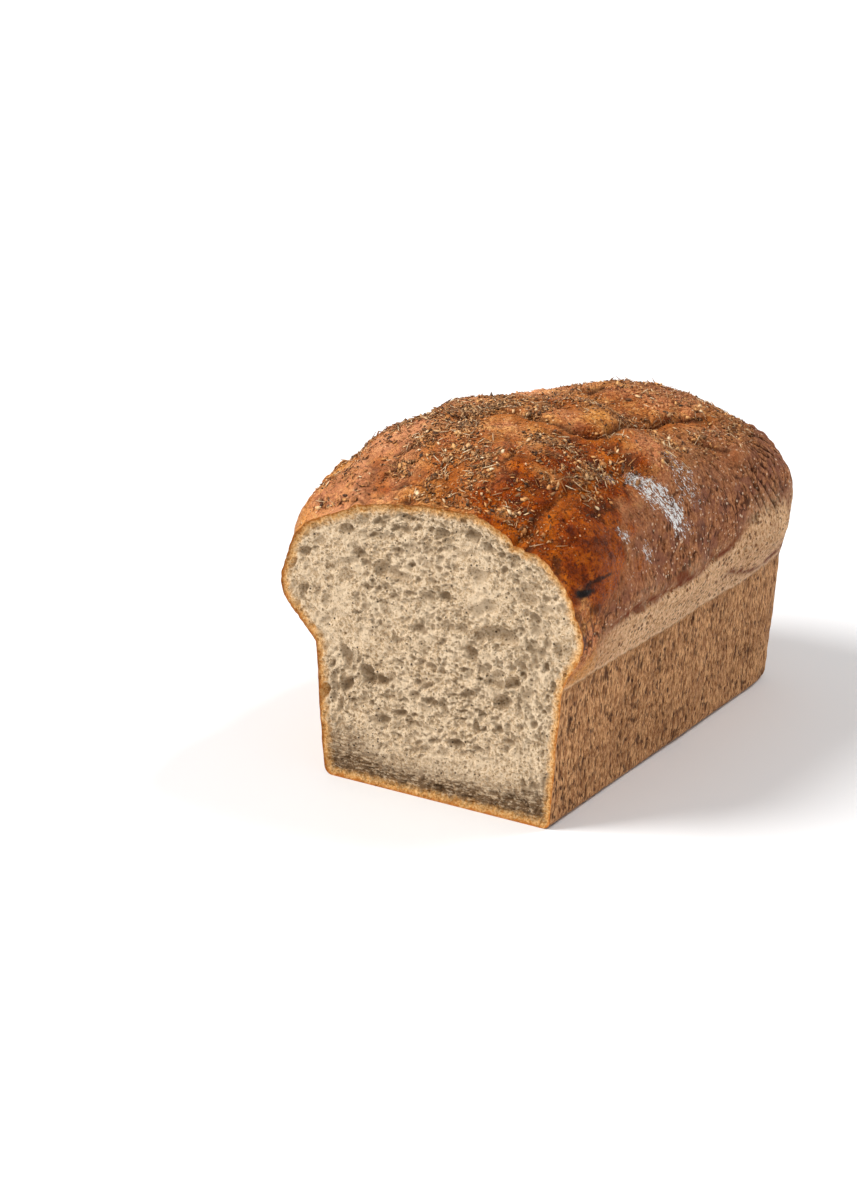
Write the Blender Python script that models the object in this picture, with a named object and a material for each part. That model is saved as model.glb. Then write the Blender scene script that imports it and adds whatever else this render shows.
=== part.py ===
"""A tin-baked sourdough loaf with its front end sliced off, in metres, +Z up.

The loaf stands on z = 0. The cut face looks along -Y, the loaf runs back along +Y, and the
origin is the middle of its footprint. The dough rose out of the tin, so straight walls reach
up to a neck at the tin's rim, and a wider dome hangs over them on all sides.
"""

import math
import random

import bmesh
import bpy
import numpy as np
from mathutils import Matrix, Vector

# The tin's walls, measured from the loaf's centre line and from the cut face
BASE_HALF_WIDTH = 0.0530
NECK_HALF_WIDTH = 0.0570
NECK_HEIGHT = 0.0570
BASE_LENGTH = 0.2045
NECK_LENGTH = 0.2075
BASE_EDGE_RADIUS = 0.0035
WALL_SQUARENESS = 9.0

# The dome: its reach to each side at the cut and at mid length, and its height along the loaf
BULGE_HEIGHT = 0.0810
LEFT_REACH_AT_CUT = 0.0735
LEFT_REACH_AT_MIDDLE = 0.0820
RIGHT_REACH_AT_CUT = 0.0660
RIGHT_REACH_AT_MIDDLE = 0.0665
DOME_LENGTH = 0.2170
DOME_SQUARENESS = 4.4
CROWN_SQUARENESS = 2.0
TOP_AT_CUT = 0.1240
TOP_AT_PEAK = 0.1445
TOP_AT_POLE = 0.1345
PEAK_PLACE = 0.0770
POLE_PLACE = 0.1300
RIDGE_SIDE = -0.0025
ROUNDNESS_AT_CUT = 2.0
ROUNDNESS_AT_MIDDLE = 2.50
FULL_PLACE = 0.0360

# The middle of the footprint, measured from the loaf's centre line and from the cut face
FOOTPRINT_X = -0.0086
FOOTPRINT_Y = 0.1096

# The loft's rows and columns
SIDE_COLUMNS = 24
FAN_COLUMNS = 27
CORNER_GATHER = 0.6
EDGE_ROWS = 2
WALL_ROWS = 5
NECK_ROWS = 5
DOME_ROWS = 14

# Relief of the crust: waves of these lengths, heaped up by chance
LUMP_LENGTH = 0.060
LUMP_HEIGHT = 0.0015
BUBBLE_LENGTH = 0.026
BUBBLE_HEIGHT = 0.0006
WAVE_COUNT = 20
WAVE_STRETCH = (0.75, 1.35)
WALL_SHARE = 0.25
RELIEF_SEED = 1
FLAT_BASE_HEIGHT = 0.006

# Tears and folds of the dome as short routes in plan, in metres from the cut face's foot:
# (depth, half width, points), each drawn where the skin folded or split as the dough rose
CREASES = (
    (
        0.0044,
        0.0042,
        (
            (0.034, 0.156),
            (0.026, 0.140),
            (0.024, 0.118),
            (0.030, 0.094),
            (0.031, 0.080),
            (0.024, 0.0745),
            (0.010, 0.073),
            (-0.008, 0.074),
            (-0.024, 0.062),
        ),
    ),
    (0.0026, 0.0034, ((0.052, 0.144), (0.044, 0.132), (0.036, 0.128))),
    (0.0046, 0.0050, ((-0.040, 0.106), (-0.012, 0.101), (0.005, 0.088))),
    (0.0016, 0.0034, ((-0.010, 0.018), (-0.002, 0.010), (0.008, -0.004))),
    (0.0018, 0.0036, ((0.044, 0.040), (0.040, 0.024), (0.037, -0.002))),
    (0.0016, 0.0034, ((-0.058, 0.030), (-0.040, 0.018), (-0.034, -0.004))),
)

# Broad hollows where the dome sank as it cooled: at the back left, the front left, the back right
DENTS = (
    (0.0040, 0.0200, ((-0.062, 0.148), (-0.052, 0.172))),
    (0.0030, 0.0160, ((-0.078, 0.012), (-0.074, 0.030))),
    (0.0034, 0.0150, ((0.038, 0.196), (0.054, 0.204))),
)

# The red-brown seam where the dome's skin ends above the pale neck, on the right-hand side
SEAM_HEIGHT = 0.0790
SEAM_DEPTH = 0.0016
SEAM_HALF_WIDTH = 0.0022
SEAM_START = 0.040
SEAM_END = 0.120

# The largest holes of the crumb on the cut face: (x, z, width, height, tilt in degrees)
LARGE_HOLES = (
    (0.0293, 0.0765, 0.0170, 0.0072, -8),
    (-0.0210, 0.0929, 0.0170, 0.0056, -8),
    (0.0166, 0.0663, 0.0084, 0.0056, -55),
    (-0.0420, 0.0536, 0.0104, 0.0042, -66),
    (-0.0316, 0.0469, 0.0100, 0.0056, -62),
    (-0.0353, 0.0979, 0.0078, 0.0044, -20),
    (-0.0413, 0.1077, 0.0076, 0.0038, 12),
    (-0.0613, 0.0943, 0.0066, 0.0038, 30),
    (0.0417, 0.0935, 0.0092, 0.0050, -32),
    (0.0306, 0.0484, 0.0080, 0.0070, 60),
    (0.0354, 0.0576, 0.0074, 0.0066, 50),
    (0.0189, 0.0989, 0.0092, 0.0042, -12),
    (-0.0123, 0.1150, 0.0090, 0.0030, -4),
    (-0.0449, 0.0324, 0.0062, 0.0028, -80),
)
HOLE_DEPTH_SHARE = 0.45
SMALL_HOLE_COUNT = 24
SMALL_HOLE_WIDTH = (0.0030, 0.0056)
SMALL_HOLE_SLIMNESS = (0.5, 0.8)
HOLE_TILT_AT_WALL = 70
HOLE_TILT_SCATTER = 15
HOLE_GAP = 0.0016
HOLE_EDGE_MARGIN = 0.0050
HOLE_SEED = 11

# Bran flakes and straw slivers baked onto the dome
FLAKE_COUNT = 78
FLAKE_SIZE = (0.0034, 0.0056)
FLAKE_WIDTH_SHARE = 0.55
FLAKE_THICKNESS = 0.0020
FLAKE_SINK = 0.0002
SLIVER_COUNT = 22
SLIVER_LENGTH = (0.0060, 0.0085)
SLIVER_WIDTH = 0.0014
FLAKE_GAP = 0.0060
FLAKE_LOWEST = 0.100
FLAKE_THINNING = 0.6
FLAKE_LEAST_SLOPE = 0.1
FLAKE_SEED = 7

CRUST_COLOUR = (0.36, 0.135, 0.048, 1.0)
CRUST_ROUGHNESS = 0.5
SHARP_ANGLE = 40


def clear_scene():
    for found in list(bpy.data.objects):
        bpy.data.objects.remove(found, do_unlink=True)


def ease(t):
    """0 to 1 with a flat start and a flat end."""
    t = np.clip(t, 0.0, 1.0)
    return t * t * (3 - 2 * t)


def top_height(y):
    """Height of the ridge: it climbs from the cut to its peak, then sinks gently to the pole."""
    climb = TOP_AT_CUT + (TOP_AT_PEAK - TOP_AT_CUT) * (1 - (1 - np.clip(y / PEAK_PLACE, 0, 1)) ** 2)
    fall = (TOP_AT_PEAK - TOP_AT_POLE) * ease((y - PEAK_PLACE) / (POLE_PLACE - PEAK_PLACE))
    return climb - fall


def plan_columns():
    """Columns round the loaf: back along the left side, round the back end, forward on the right.

    Each is a direction (dx, dy) in plan and the place y on the centre line that it starts from.
    Behind the pole they stand closer together where the back corners turn.
    """
    side = np.linspace(0.0, POLE_PLACE, SIDE_COLUMNS + 1)
    turn = np.linspace(-math.pi / 2, math.pi / 2, FAN_COLUMNS + 1)[1:-1]
    turn = turn + CORNER_GATHER / 4 * np.sin(4 * turn)
    dx = np.concatenate([-np.ones_like(side), np.sin(turn), np.ones_like(side)])
    dy = np.concatenate([np.zeros_like(side), np.cos(turn), np.zeros_like(side)])
    y = np.concatenate([side, np.full_like(turn, POLE_PLACE), side[::-1]])
    return dx, dy, y


def rounded_plan(columns, left, right, length, squareness, centre_x):
    """Points of a plan outline, a superellipse: |x/a|^p + |y/b|^p = 1 behind the pole."""
    dx, dy, y = columns
    reach = np.where(dx < 0, left, right)
    radius = (np.abs(dx) ** squareness + np.abs(dy) ** squareness) ** (-1 / squareness)
    return centre_x + reach * dx * radius, y + (length - POLE_PLACE) * dy * radius


def wall_row(columns, height):
    """One level of the straight wall, drawn in at the foot by the rounded bottom edge."""
    t = height / NECK_HEIGHT
    drop = max(0.0, BASE_EDGE_RADIUS - height)
    inset = BASE_EDGE_RADIUS - math.sqrt(BASE_EDGE_RADIUS**2 - drop**2)
    half = BASE_HALF_WIDTH + (NECK_HALF_WIDTH - BASE_HALF_WIDTH) * t - inset
    length = BASE_LENGTH + (NECK_LENGTH - BASE_LENGTH) * t - inset
    x, y = rounded_plan(columns, half, half, length, WALL_SQUARENESS, 0.0)
    return np.stack([x, y, np.full_like(x, height)], axis=1)


def growth(y):
    """How far the section has grown from its shape at the cut, 0, to its full shape, 1."""
    return 1 - (1 - np.clip(y / FULL_PLACE, 0, 1)) ** 2


def dome_reaches(columns):
    """How far the dome reaches left and right of the centre line at each column."""
    share = growth(columns[2])
    left = LEFT_REACH_AT_CUT + (LEFT_REACH_AT_MIDDLE - LEFT_REACH_AT_CUT) * share
    right = RIGHT_REACH_AT_CUT + (RIGHT_REACH_AT_MIDDLE - RIGHT_REACH_AT_CUT) * share
    return left, right


def neck_row(columns, t):
    """One level between the tin's rim, t = 0, and the widest part of the dome, t = 1."""
    left, right = dome_reaches(columns)
    swell_left = math.sin(t * math.pi / 2)
    swell_right = 0.5 * (swell_left + swell_left**2)
    squareness = WALL_SQUARENESS + (DOME_SQUARENESS - WALL_SQUARENESS) * swell_left
    length = NECK_LENGTH + (DOME_LENGTH - NECK_LENGTH) * swell_left
    x, y = rounded_plan(
        columns,
        NECK_HALF_WIDTH + (left - NECK_HALF_WIDTH) * swell_left,
        NECK_HALF_WIDTH + (right - NECK_HALF_WIDTH) * swell_right,
        length,
        squareness,
        0.0,
    )
    return np.stack([x, y, np.full_like(x, NECK_HEIGHT + (BULGE_HEIGHT - NECK_HEIGHT) * t)], axis=1)


def dome_row(columns, t):
    """One level of the dome, a superellipse arch from its widest part, t = 0, to the ridge, t = 1."""
    left, right = dome_reaches(columns)
    share = growth(columns[2])
    power = 2 / (ROUNDNESS_AT_CUT + (ROUNDNESS_AT_MIDDLE - ROUNDNESS_AT_CUT) * share)
    inward = max(0.0, math.cos(t * math.pi / 2)) ** power
    upward = math.sin(t * math.pi / 2) ** power
    squareness = DOME_SQUARENESS + (CROWN_SQUARENESS - DOME_SQUARENESS) * t
    x, y = rounded_plan(
        columns,
        (left + RIDGE_SIDE) * inward,
        (right - RIDGE_SIDE) * inward,
        DOME_LENGTH,
        squareness,
        RIDGE_SIDE,
    )
    y = columns[2] + (y - columns[2]) * inward
    z = BULGE_HEIGHT + (top_height(columns[2]) - BULGE_HEIGHT) * upward
    return np.stack([x, y, z], axis=1)


def smooth_form():
    """The loaf before its relief, as an array of rows by columns by (x, y, z)."""
    columns = plan_columns()
    rise = 1 - np.cos(np.linspace(0, math.pi / 2, EDGE_ROWS + 1))
    edge = [wall_row(columns, BASE_EDGE_RADIUS * r) for r in rise]
    wall = [wall_row(columns, h) for h in np.linspace(BASE_EDGE_RADIUS, NECK_HEIGHT, WALL_ROWS + 1)[1:]]
    neck = [neck_row(columns, t) for t in np.linspace(0, 1, NECK_ROWS + 1)[1:]]
    dome = [dome_row(columns, t) for t in np.linspace(0, 1, DOME_ROWS + 1)[1:]]
    return np.array(edge + wall + neck + dome)


def outward_normals(form):
    """Unit normals from the differences between neighbouring columns and rows."""
    along = np.gradient(form, axis=1)
    up = np.gradient(form, axis=0)
    normal = np.cross(up, along)
    length = np.linalg.norm(normal, axis=2, keepdims=True)
    return normal / np.maximum(length, 1e-12)


def distance_to_route(x, y, route):
    """Distance in plan from each point to a route of straight runs."""
    nearest = np.full(x.shape, np.inf)
    for (ax, ay), (bx, by) in zip(route, route[1:]):
        run_x, run_y = bx - ax, by - ay
        share = ((x - ax) * run_x + (y - ay) * run_y) / (run_x**2 + run_y**2)
        share = np.clip(share, 0, 1)
        nearest = np.minimum(nearest, np.hypot(x - ax - share * run_x, y - ay - share * run_y))
    return nearest


def waves_at(points, length, seed):
    """Smooth lumps of about unit height: a sum of sine waves of this length in all directions."""
    draw = np.random.default_rng(seed)
    direction = draw.normal(size=(WAVE_COUNT, 3))
    direction /= np.linalg.norm(direction, axis=1, keepdims=True)
    phase = draw.uniform(0, 2 * math.pi, WAVE_COUNT)
    stretch = draw.uniform(*WAVE_STRETCH, WAVE_COUNT)
    angle = points @ (direction * stretch[:, None]).T * (2 * math.pi / length) + phase
    return np.sin(angle).sum(axis=-1) * math.sqrt(2 / WAVE_COUNT)


def relief(form):
    """Height of the crust above the smooth form: lumps and bubbles, less folds, dents and seam."""
    x, y, z = form[..., 0], form[..., 1], form[..., 2]
    on_dome = ease((z - NECK_HEIGHT) / (BULGE_HEIGHT - NECK_HEIGHT))
    lumps = LUMP_HEIGHT * waves_at(form, LUMP_LENGTH, RELIEF_SEED)
    bubbles = BUBBLE_HEIGHT * waves_at(form, BUBBLE_LENGTH, RELIEF_SEED + 1)
    height = (lumps + bubbles) * (WALL_SHARE + (1 - WALL_SHARE) * on_dome)
    above_bulge = ease((z - BULGE_HEIGHT) / (TOP_AT_CUT - BULGE_HEIGHT))
    for depth, half_width, route in CREASES + DENTS:
        away = distance_to_route(x, y, route)
        height -= depth * above_bulge * np.exp(-((away / half_width) ** 2))
    beside = (x > 0) & (y > SEAM_START) & (y < SEAM_END)
    height -= np.where(beside, SEAM_DEPTH * np.exp(-(((z - SEAM_HEIGHT) / SEAM_HALF_WIDTH) ** 2)), 0)
    return height * ease(z / FLAT_BASE_HEIGHT)


def loaf_surface():
    """The crust with its relief. The cut's columns stay in the cut plane, the base on z = 0."""
    form = smooth_form()
    push = outward_normals(form) * relief(form)[..., None]
    push[:, [0, -1], 1] = 0.0
    push[-1] = push[-2]
    push[-1, :, :2] = 0.0
    grown = form + push
    middle = (grown[-1] + grown[-1, ::-1]) / 2
    grown[-1] = middle
    return grown - np.array([FOOTPRINT_X, FOOTPRINT_Y, 0.0])


def build_body(collection):
    """The loaf's closed mesh: the lofted crust, the flat base, and the flat cut face."""
    surface = loaf_surface()
    rows, columns = surface.shape[:2]
    mesh = bmesh.new()
    grid = [[mesh.verts.new(surface[r, c]) for c in range(columns)] for r in range(rows - 1)]
    ridge = [mesh.verts.new(surface[-1, c]) for c in range(SIDE_COLUMNS + 1)]
    last = columns - 1
    pole = ridge[-1]
    top = [ridge[c] if c <= SIDE_COLUMNS else pole for c in range(columns)]
    for c in range(last - SIDE_COLUMNS, columns):
        top[c] = ridge[last - c]
    grid.append(top)
    for r in range(rows - 1):
        for c in range(last):
            corners = [grid[r][c], grid[r][c + 1], grid[r + 1][c + 1], grid[r + 1][c]]
            mesh.faces.new(list(dict.fromkeys(corners)))
    mesh.faces.new(reversed(grid[0]))
    left_edge = [grid[r][0] for r in range(rows)]
    right_edge = [grid[r][last] for r in range(rows - 1)]
    mesh.faces.new(left_edge + right_edge[::-1])
    bmesh.ops.recalc_face_normals(mesh, faces=mesh.faces)
    return mesh_object("loaf", mesh, collection)


def mesh_object(name, mesh, collection):
    data = bpy.data.meshes.new(name)
    mesh.to_mesh(data)
    mesh.free()
    made = bpy.data.objects.new(name, data)
    collection.objects.link(made)
    return made


def ball(name, sizes, matrix, collection, detail):
    """A faceted ball of this length, width and thickness, put in place by a matrix."""
    mesh = bmesh.new()
    bmesh.ops.create_icosphere(mesh, subdivisions=detail, radius=0.5)
    bmesh.ops.scale(mesh, vec=sizes, verts=mesh.verts)
    bmesh.ops.transform(mesh, matrix=matrix, verts=mesh.verts)
    return mesh_object(name, mesh, collection)


def new_collection(name):
    made = bpy.data.collections.new(name)
    bpy.context.scene.collection.children.link(made)
    return made


def half_widths_at(z):
    """How far the cut face reaches left and right of the centre line at height z."""
    if z < NECK_HEIGHT:
        half = BASE_HALF_WIDTH + (NECK_HALF_WIDTH - BASE_HALF_WIDTH) * z / NECK_HEIGHT
        return half, half
    if z < BULGE_HEIGHT:
        swell = math.sin((z - NECK_HEIGHT) / (BULGE_HEIGHT - NECK_HEIGHT) * math.pi / 2)
        left = NECK_HALF_WIDTH + (LEFT_REACH_AT_CUT - NECK_HALF_WIDTH) * swell
        right = NECK_HALF_WIDTH + (RIGHT_REACH_AT_CUT - NECK_HALF_WIDTH) * (swell + swell**2) / 2
        return left, right
    arch = math.sqrt(max(0.0, 1 - ((z - BULGE_HEIGHT) / (TOP_AT_CUT - BULGE_HEIGHT)) ** 2))
    return (
        (LEFT_REACH_AT_CUT + RIDGE_SIDE) * arch - RIDGE_SIDE,
        (RIGHT_REACH_AT_CUT - RIDGE_SIDE) * arch + RIDGE_SIDE,
    )


def small_holes():
    """Smaller holes between the large ones, each drawn at random and kept if it stands clear."""
    draw = random.Random(HOLE_SEED)
    placed = list(LARGE_HOLES)
    while len(placed) < len(LARGE_HOLES) + SMALL_HOLE_COUNT:
        z = draw.uniform(HOLE_EDGE_MARGIN * 2, TOP_AT_CUT - HOLE_EDGE_MARGIN)
        left, right = half_widths_at(z)
        x = draw.uniform(-left, right)
        width = draw.uniform(*SMALL_HOLE_WIDTH)
        height = width * draw.uniform(*SMALL_HOLE_SLIMNESS)
        if min(x + left, right - x) < HOLE_EDGE_MARGIN + width:
            continue
        upright = min(1.0, abs(x) / NECK_HALF_WIDTH) ** 2
        scatter = draw.uniform(-HOLE_TILT_SCATTER, HOLE_TILT_SCATTER)
        tilt = math.copysign(HOLE_TILT_AT_WALL * upright, -x) + scatter
        gaps = [math.hypot(x - h[0], z - h[1]) - (width + h[2]) / 2 for h in placed]
        if min(gaps) > HOLE_GAP:
            placed.append((x, z, width, height, tilt))
    return placed[len(LARGE_HOLES):]


def cut_crumb_holes(body):
    """Cuts every hole out of the cut face with a ball that is centred on the cut plane."""
    cutters = new_collection("crumb_hole_cutters")
    for index, (x, z, width, height, tilt) in enumerate(list(LARGE_HOLES) + small_holes()):
        place = Matrix.Translation((x - FOOTPRINT_X, -FOOTPRINT_Y, z))
        turn = Matrix.Rotation(math.radians(-tilt), 4, "Y")
        sizes = (width, 2 * HOLE_DEPTH_SHARE * height, height)
        ball(f"crumb_hole_{index}", sizes, place @ turn, cutters, 2)
    apply_boolean(body, cutters, "DIFFERENCE")


def flake_density(place):
    """How thickly the flakes lie: most on top, fewer towards the back, none low down."""
    height = ease((place.z - FLAKE_LOWEST) / (TOP_AT_CUT - FLAKE_LOWEST))
    back = 1 - FLAKE_THINNING * ease((place.y + FOOTPRINT_Y - POLE_PLACE) / (DOME_LENGTH - POLE_PLACE))
    return float(height * back)


def flake_seats(body, count):
    """Places on the dome's faces with their normals, drawn by area and kept apart."""
    draw = random.Random(FLAKE_SEED)
    body.data.calc_loop_triangles()
    points = body.data.vertices
    upper = [t for t in body.data.loop_triangles if t.normal.z > FLAKE_LEAST_SLOPE]
    faces = [t for t in upper if points[t.vertices[0]].co.z > FLAKE_LOWEST]
    weights = [t.area * flake_density(points[t.vertices[0]].co) for t in faces]
    seats = []
    while len(seats) < count:
        face = draw.choices(faces, weights)[0]
        corners = [points[v].co for v in face.vertices]
        shares = [1 - draw.random() for _ in corners]
        place = sum((c * s for c, s in zip(corners, shares)), Vector()) / sum(shares)
        if place.y < FLAKE_GAP - FOOTPRINT_Y:
            continue
        if all((place - other).length > FLAKE_GAP for other, _ in seats):
            seats.append((place - face.normal * FLAKE_SINK, face.normal.copy()))
    return seats


def fuse_flakes(body):
    """Beds bran flakes and straw slivers half deep in the dome and joins them to it."""
    toppings = new_collection("toppings")
    draw = random.Random(FLAKE_SEED + 1)
    for index, (place, normal) in enumerate(flake_seats(body, FLAKE_COUNT + SLIVER_COUNT)):
        if index < FLAKE_COUNT:
            length = draw.uniform(*FLAKE_SIZE)
            sizes = (length, length * FLAKE_WIDTH_SHARE, FLAKE_THICKNESS)
        else:
            sizes = (draw.uniform(*SLIVER_LENGTH), SLIVER_WIDTH, SLIVER_WIDTH)
        lie = normal.to_track_quat("Z", "X").to_matrix().to_4x4()
        spin = Matrix.Rotation(draw.uniform(0, math.pi), 4, "Z")
        ball(f"topping_{index}", sizes, Matrix.Translation(place) @ lie @ spin, toppings, 1)
    apply_boolean(body, toppings, "UNION")


def apply_boolean(body, collection, operation):
    """Cuts or joins a whole collection, applies the result, and removes the collection's objects."""
    modifier = body.modifiers.new(operation.lower(), "BOOLEAN")
    modifier.operand_type = "COLLECTION"
    modifier.collection = collection
    modifier.operation = operation
    modifier.solver = "EXACT"
    bpy.context.view_layer.update()
    graph = bpy.context.evaluated_depsgraph_get()
    result = bpy.data.meshes.new_from_object(body.evaluated_get(graph))
    body.modifiers.clear()
    body.data = result
    for used in list(collection.objects):
        bpy.data.objects.remove(used, do_unlink=True)
    bpy.data.collections.remove(collection)


def crust_material():
    made = bpy.data.materials.new("baked_crust")
    made.use_nodes = True
    shader = made.node_tree.nodes["Principled BSDF"]
    shader.inputs["Base Color"].default_value = CRUST_COLOUR
    shader.inputs["Roughness"].default_value = CRUST_ROUGHNESS
    shader.inputs["Metallic"].default_value = 0.0
    made.diffuse_color = CRUST_COLOUR
    return made


def build_loaf():
    clear_scene()
    collection = new_collection("sourdough_loaf")
    body = build_body(collection)
    cut_crumb_holes(body)
    fuse_flakes(body)
    body.data.materials.clear()
    body.data.materials.append(crust_material())
    body.data.shade_smooth()
    body.data.set_sharp_from_angle(angle=math.radians(SHARP_ANGLE))
    return body


build_loaf()
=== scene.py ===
# %% [markdown]
# A tin-baked sourdough loaf, cut open at the front. The dough rose out of its tin, so straight
# walls carry a wider dome. The dome is glazed, folded and strewn with bran. The cut face shows an
# open crumb inside a thin golden rim. Each step below makes one of these surfaces or its finish.

import math

import bpy
import numpy as np
from mathutils import Matrix, Vector


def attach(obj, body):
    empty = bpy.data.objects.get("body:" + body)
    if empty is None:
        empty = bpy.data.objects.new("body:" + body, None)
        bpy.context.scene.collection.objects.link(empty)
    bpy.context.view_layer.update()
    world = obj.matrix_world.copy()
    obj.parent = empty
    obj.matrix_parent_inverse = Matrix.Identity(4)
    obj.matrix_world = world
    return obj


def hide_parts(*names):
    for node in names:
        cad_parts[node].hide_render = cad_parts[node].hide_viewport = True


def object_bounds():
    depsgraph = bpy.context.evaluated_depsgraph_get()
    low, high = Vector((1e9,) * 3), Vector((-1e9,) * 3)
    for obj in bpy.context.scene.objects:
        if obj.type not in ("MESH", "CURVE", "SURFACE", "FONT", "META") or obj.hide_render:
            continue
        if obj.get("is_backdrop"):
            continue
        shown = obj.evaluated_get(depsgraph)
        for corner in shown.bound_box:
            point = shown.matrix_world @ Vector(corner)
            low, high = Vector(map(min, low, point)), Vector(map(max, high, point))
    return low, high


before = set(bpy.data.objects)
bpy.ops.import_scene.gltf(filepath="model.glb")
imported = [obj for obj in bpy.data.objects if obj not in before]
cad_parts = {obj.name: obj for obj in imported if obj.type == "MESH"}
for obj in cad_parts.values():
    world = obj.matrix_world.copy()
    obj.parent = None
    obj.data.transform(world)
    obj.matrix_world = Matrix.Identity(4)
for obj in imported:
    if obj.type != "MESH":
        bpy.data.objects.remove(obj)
cad_low, cad_high = (np.array(corner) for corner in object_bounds())
print("packed model's box, mm:", np.round((cad_high - cad_low) * 1000, 1))

# %% [markdown]
# The camera stands in front of the cut face, turned about a third of a right angle towards the
# loaf's right-hand side and raised by about twenty degrees. It is a long lens from over a metre
# away, so the loaf's edges hardly converge. The place was fitted to the loaf's corners and its
# outline. Lengths are measured from the loaf's centre line and its cut face, and this shift
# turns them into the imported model's frame.

# %% Camera
MM = 0.001
SHIFT = np.array([8.6, -109.6, 0.0]) * MM

CAMERA_TURN = math.radians(32.3)
CAMERA_RISE = math.radians(19.6)
CAMERA_DISTANCE = 1.1208
CAMERA_ACROSS = -0.0024
CAMERA_UP = 0.0805
LENS_LENGTH = 84.0
FILM_WIDTH = 36.0

back = Vector(
    (
        math.sin(CAMERA_TURN) * math.cos(CAMERA_RISE),
        -math.cos(CAMERA_TURN) * math.cos(CAMERA_RISE),
        math.sin(CAMERA_RISE),
    )
)
right = Vector((math.cos(CAMERA_TURN), math.sin(CAMERA_TURN), 0))
up = back.cross(right)
camera_data = bpy.data.cameras.new("loaf_camera")
camera_data.lens = LENS_LENGTH
camera_data.sensor_width = FILM_WIDTH
camera = bpy.data.objects.new("loaf_camera", camera_data)
place = back * CAMERA_DISTANCE + right * CAMERA_ACROSS + up * CAMERA_UP + Vector(SHIFT)
camera.matrix_world = Matrix.Translation(place) @ Matrix((right, up, back)).transposed().to_4x4()
bpy.context.scene.collection.objects.link(camera)
bpy.context.scene.camera = camera
print("camera stands at", [round(value, 3) for value in place])

# %% [markdown]
# Every surface of the loaf starts from the same form: straight walls with a rounded foot, a neck
# at the tin's rim, and an arched dome. Each level of it is a U-shaped outline that runs back
# along the left side, round the back end, and forward on the right. The outline behind the pole
# is a superellipse, which is a circle with squarer shoulders. Working it out as one grid of
# points keeps the walls, the dome and the cut face joined without gaps.

# %% Sizes of the form
BASE_HALF_WIDTH = 0.0530
NECK_HALF_WIDTH = 0.0570
NECK_HEIGHT = 0.0570
BASE_LENGTH = 0.2045
NECK_LENGTH = 0.2075
BASE_EDGE_RADIUS = 0.0035
WALL_SQUARENESS = 9.0

BULGE_HEIGHT = 0.0810
LEFT_REACH_AT_CUT = 0.0735
LEFT_REACH_AT_MIDDLE = 0.0820
RIGHT_REACH_AT_CUT = 0.0660
RIGHT_REACH_AT_MIDDLE = 0.0665
DOME_LENGTH = 0.2170
DOME_SQUARENESS = 4.4
CROWN_SQUARENESS = 2.0
TOP_AT_CUT = 0.1240
TOP_AT_PEAK = 0.1445
TOP_AT_POLE = 0.1345
PEAK_PLACE = 0.0770
POLE_PLACE = 0.1300
RIDGE_SIDE = -0.0025
ROUNDNESS_AT_CUT = 2.0
ROUNDNESS_AT_MIDDLE = 2.50
FULL_PLACE = 0.0360

SIDE_COLUMNS = 212
FAN_COLUMNS = 452
CORNER_GATHER = 0.5
EDGE_ROWS = 7
WALL_ROWS = 102
NECK_ROWS = 42
SHOULDER_ROWS = 60
CROWN_ROWS = 104


def ease(t):
    """0 to 1 with a flat start and a flat end: three t squared less two t cubed."""
    t = np.clip(t, 0.0, 1.0)
    return t * t * (3 - 2 * t)


def blend(t, first, last):
    """The value that lies the share t of the way from first to last."""
    return first + (last - first) * t


def rise(value, start, width, shake=0.0):
    """0 below start, easing to 1 over this width; a shake moves the edge by shares of the width."""
    return ease((value - start) / width + shake)


def bell(t):
    """A bell curve, 1 at zero: e to the power of less t squared."""
    return np.exp(-(t**2))


# %% Outline and levels of the form
def plan_columns():
    """Directions (dx, dy) in plan and the place y on the centre line that each column starts from.

    Behind the pole the directions are sine and cosine of the turn, gathered at the two corners.
    """
    side = np.linspace(0.0, POLE_PLACE, SIDE_COLUMNS + 1)
    turn = np.linspace(-math.pi / 2, math.pi / 2, FAN_COLUMNS + 1)[1:-1]
    turn = turn + CORNER_GATHER / 4 * np.sin(4 * turn)
    dx = np.concatenate([-np.ones_like(side), np.sin(turn), np.ones_like(side)])
    dy = np.concatenate([np.zeros_like(side), np.cos(turn), np.zeros_like(side)])
    y = np.concatenate([side, np.full_like(turn, POLE_PLACE), side[::-1]])
    return dx, dy, y


def rounded_plan(left, right_side, length, squareness, centre_x):
    """Superellipse outline: the p-th powers of x over a and of y over b add up to one."""
    reach = np.where(dx < 0, left, right_side)
    radius = (np.abs(dx) ** squareness + np.abs(dy) ** squareness) ** (-1 / squareness)
    return centre_x + reach * dx * radius, start_y + (length - POLE_PLACE) * dy * radius


def growth(y):
    """Share of its full shape that the dome's section has at y: one less the square of what lacks."""
    return 1 - (1 - np.clip(y / FULL_PLACE, 0, 1)) ** 2


def top_height(y):
    """Ridge height: a parabola up to the peak, then an eased fall to the pole."""
    climb = blend(1 - (1 - np.clip(y / PEAK_PLACE, 0, 1)) ** 2, TOP_AT_CUT, TOP_AT_PEAK)
    return climb - (TOP_AT_PEAK - TOP_AT_POLE) * ease((y - PEAK_PLACE) / (POLE_PLACE - PEAK_PLACE))


def wall_levels(height):
    """Walls that spread straight from foot to neck, drawn in below by a quarter circle."""
    drop = np.maximum(0.0, BASE_EDGE_RADIUS - height)
    inset = BASE_EDGE_RADIUS - np.sqrt(BASE_EDGE_RADIUS**2 - drop**2)
    half = blend(height / NECK_HEIGHT, BASE_HALF_WIDTH, NECK_HALF_WIDTH) - inset
    length = blend(height / NECK_HEIGHT, BASE_LENGTH, NECK_LENGTH) - inset
    x, y = rounded_plan(half, half, length, WALL_SQUARENESS, 0.0)
    return np.stack(np.broadcast_arrays(x, y, height), axis=-1)


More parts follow.
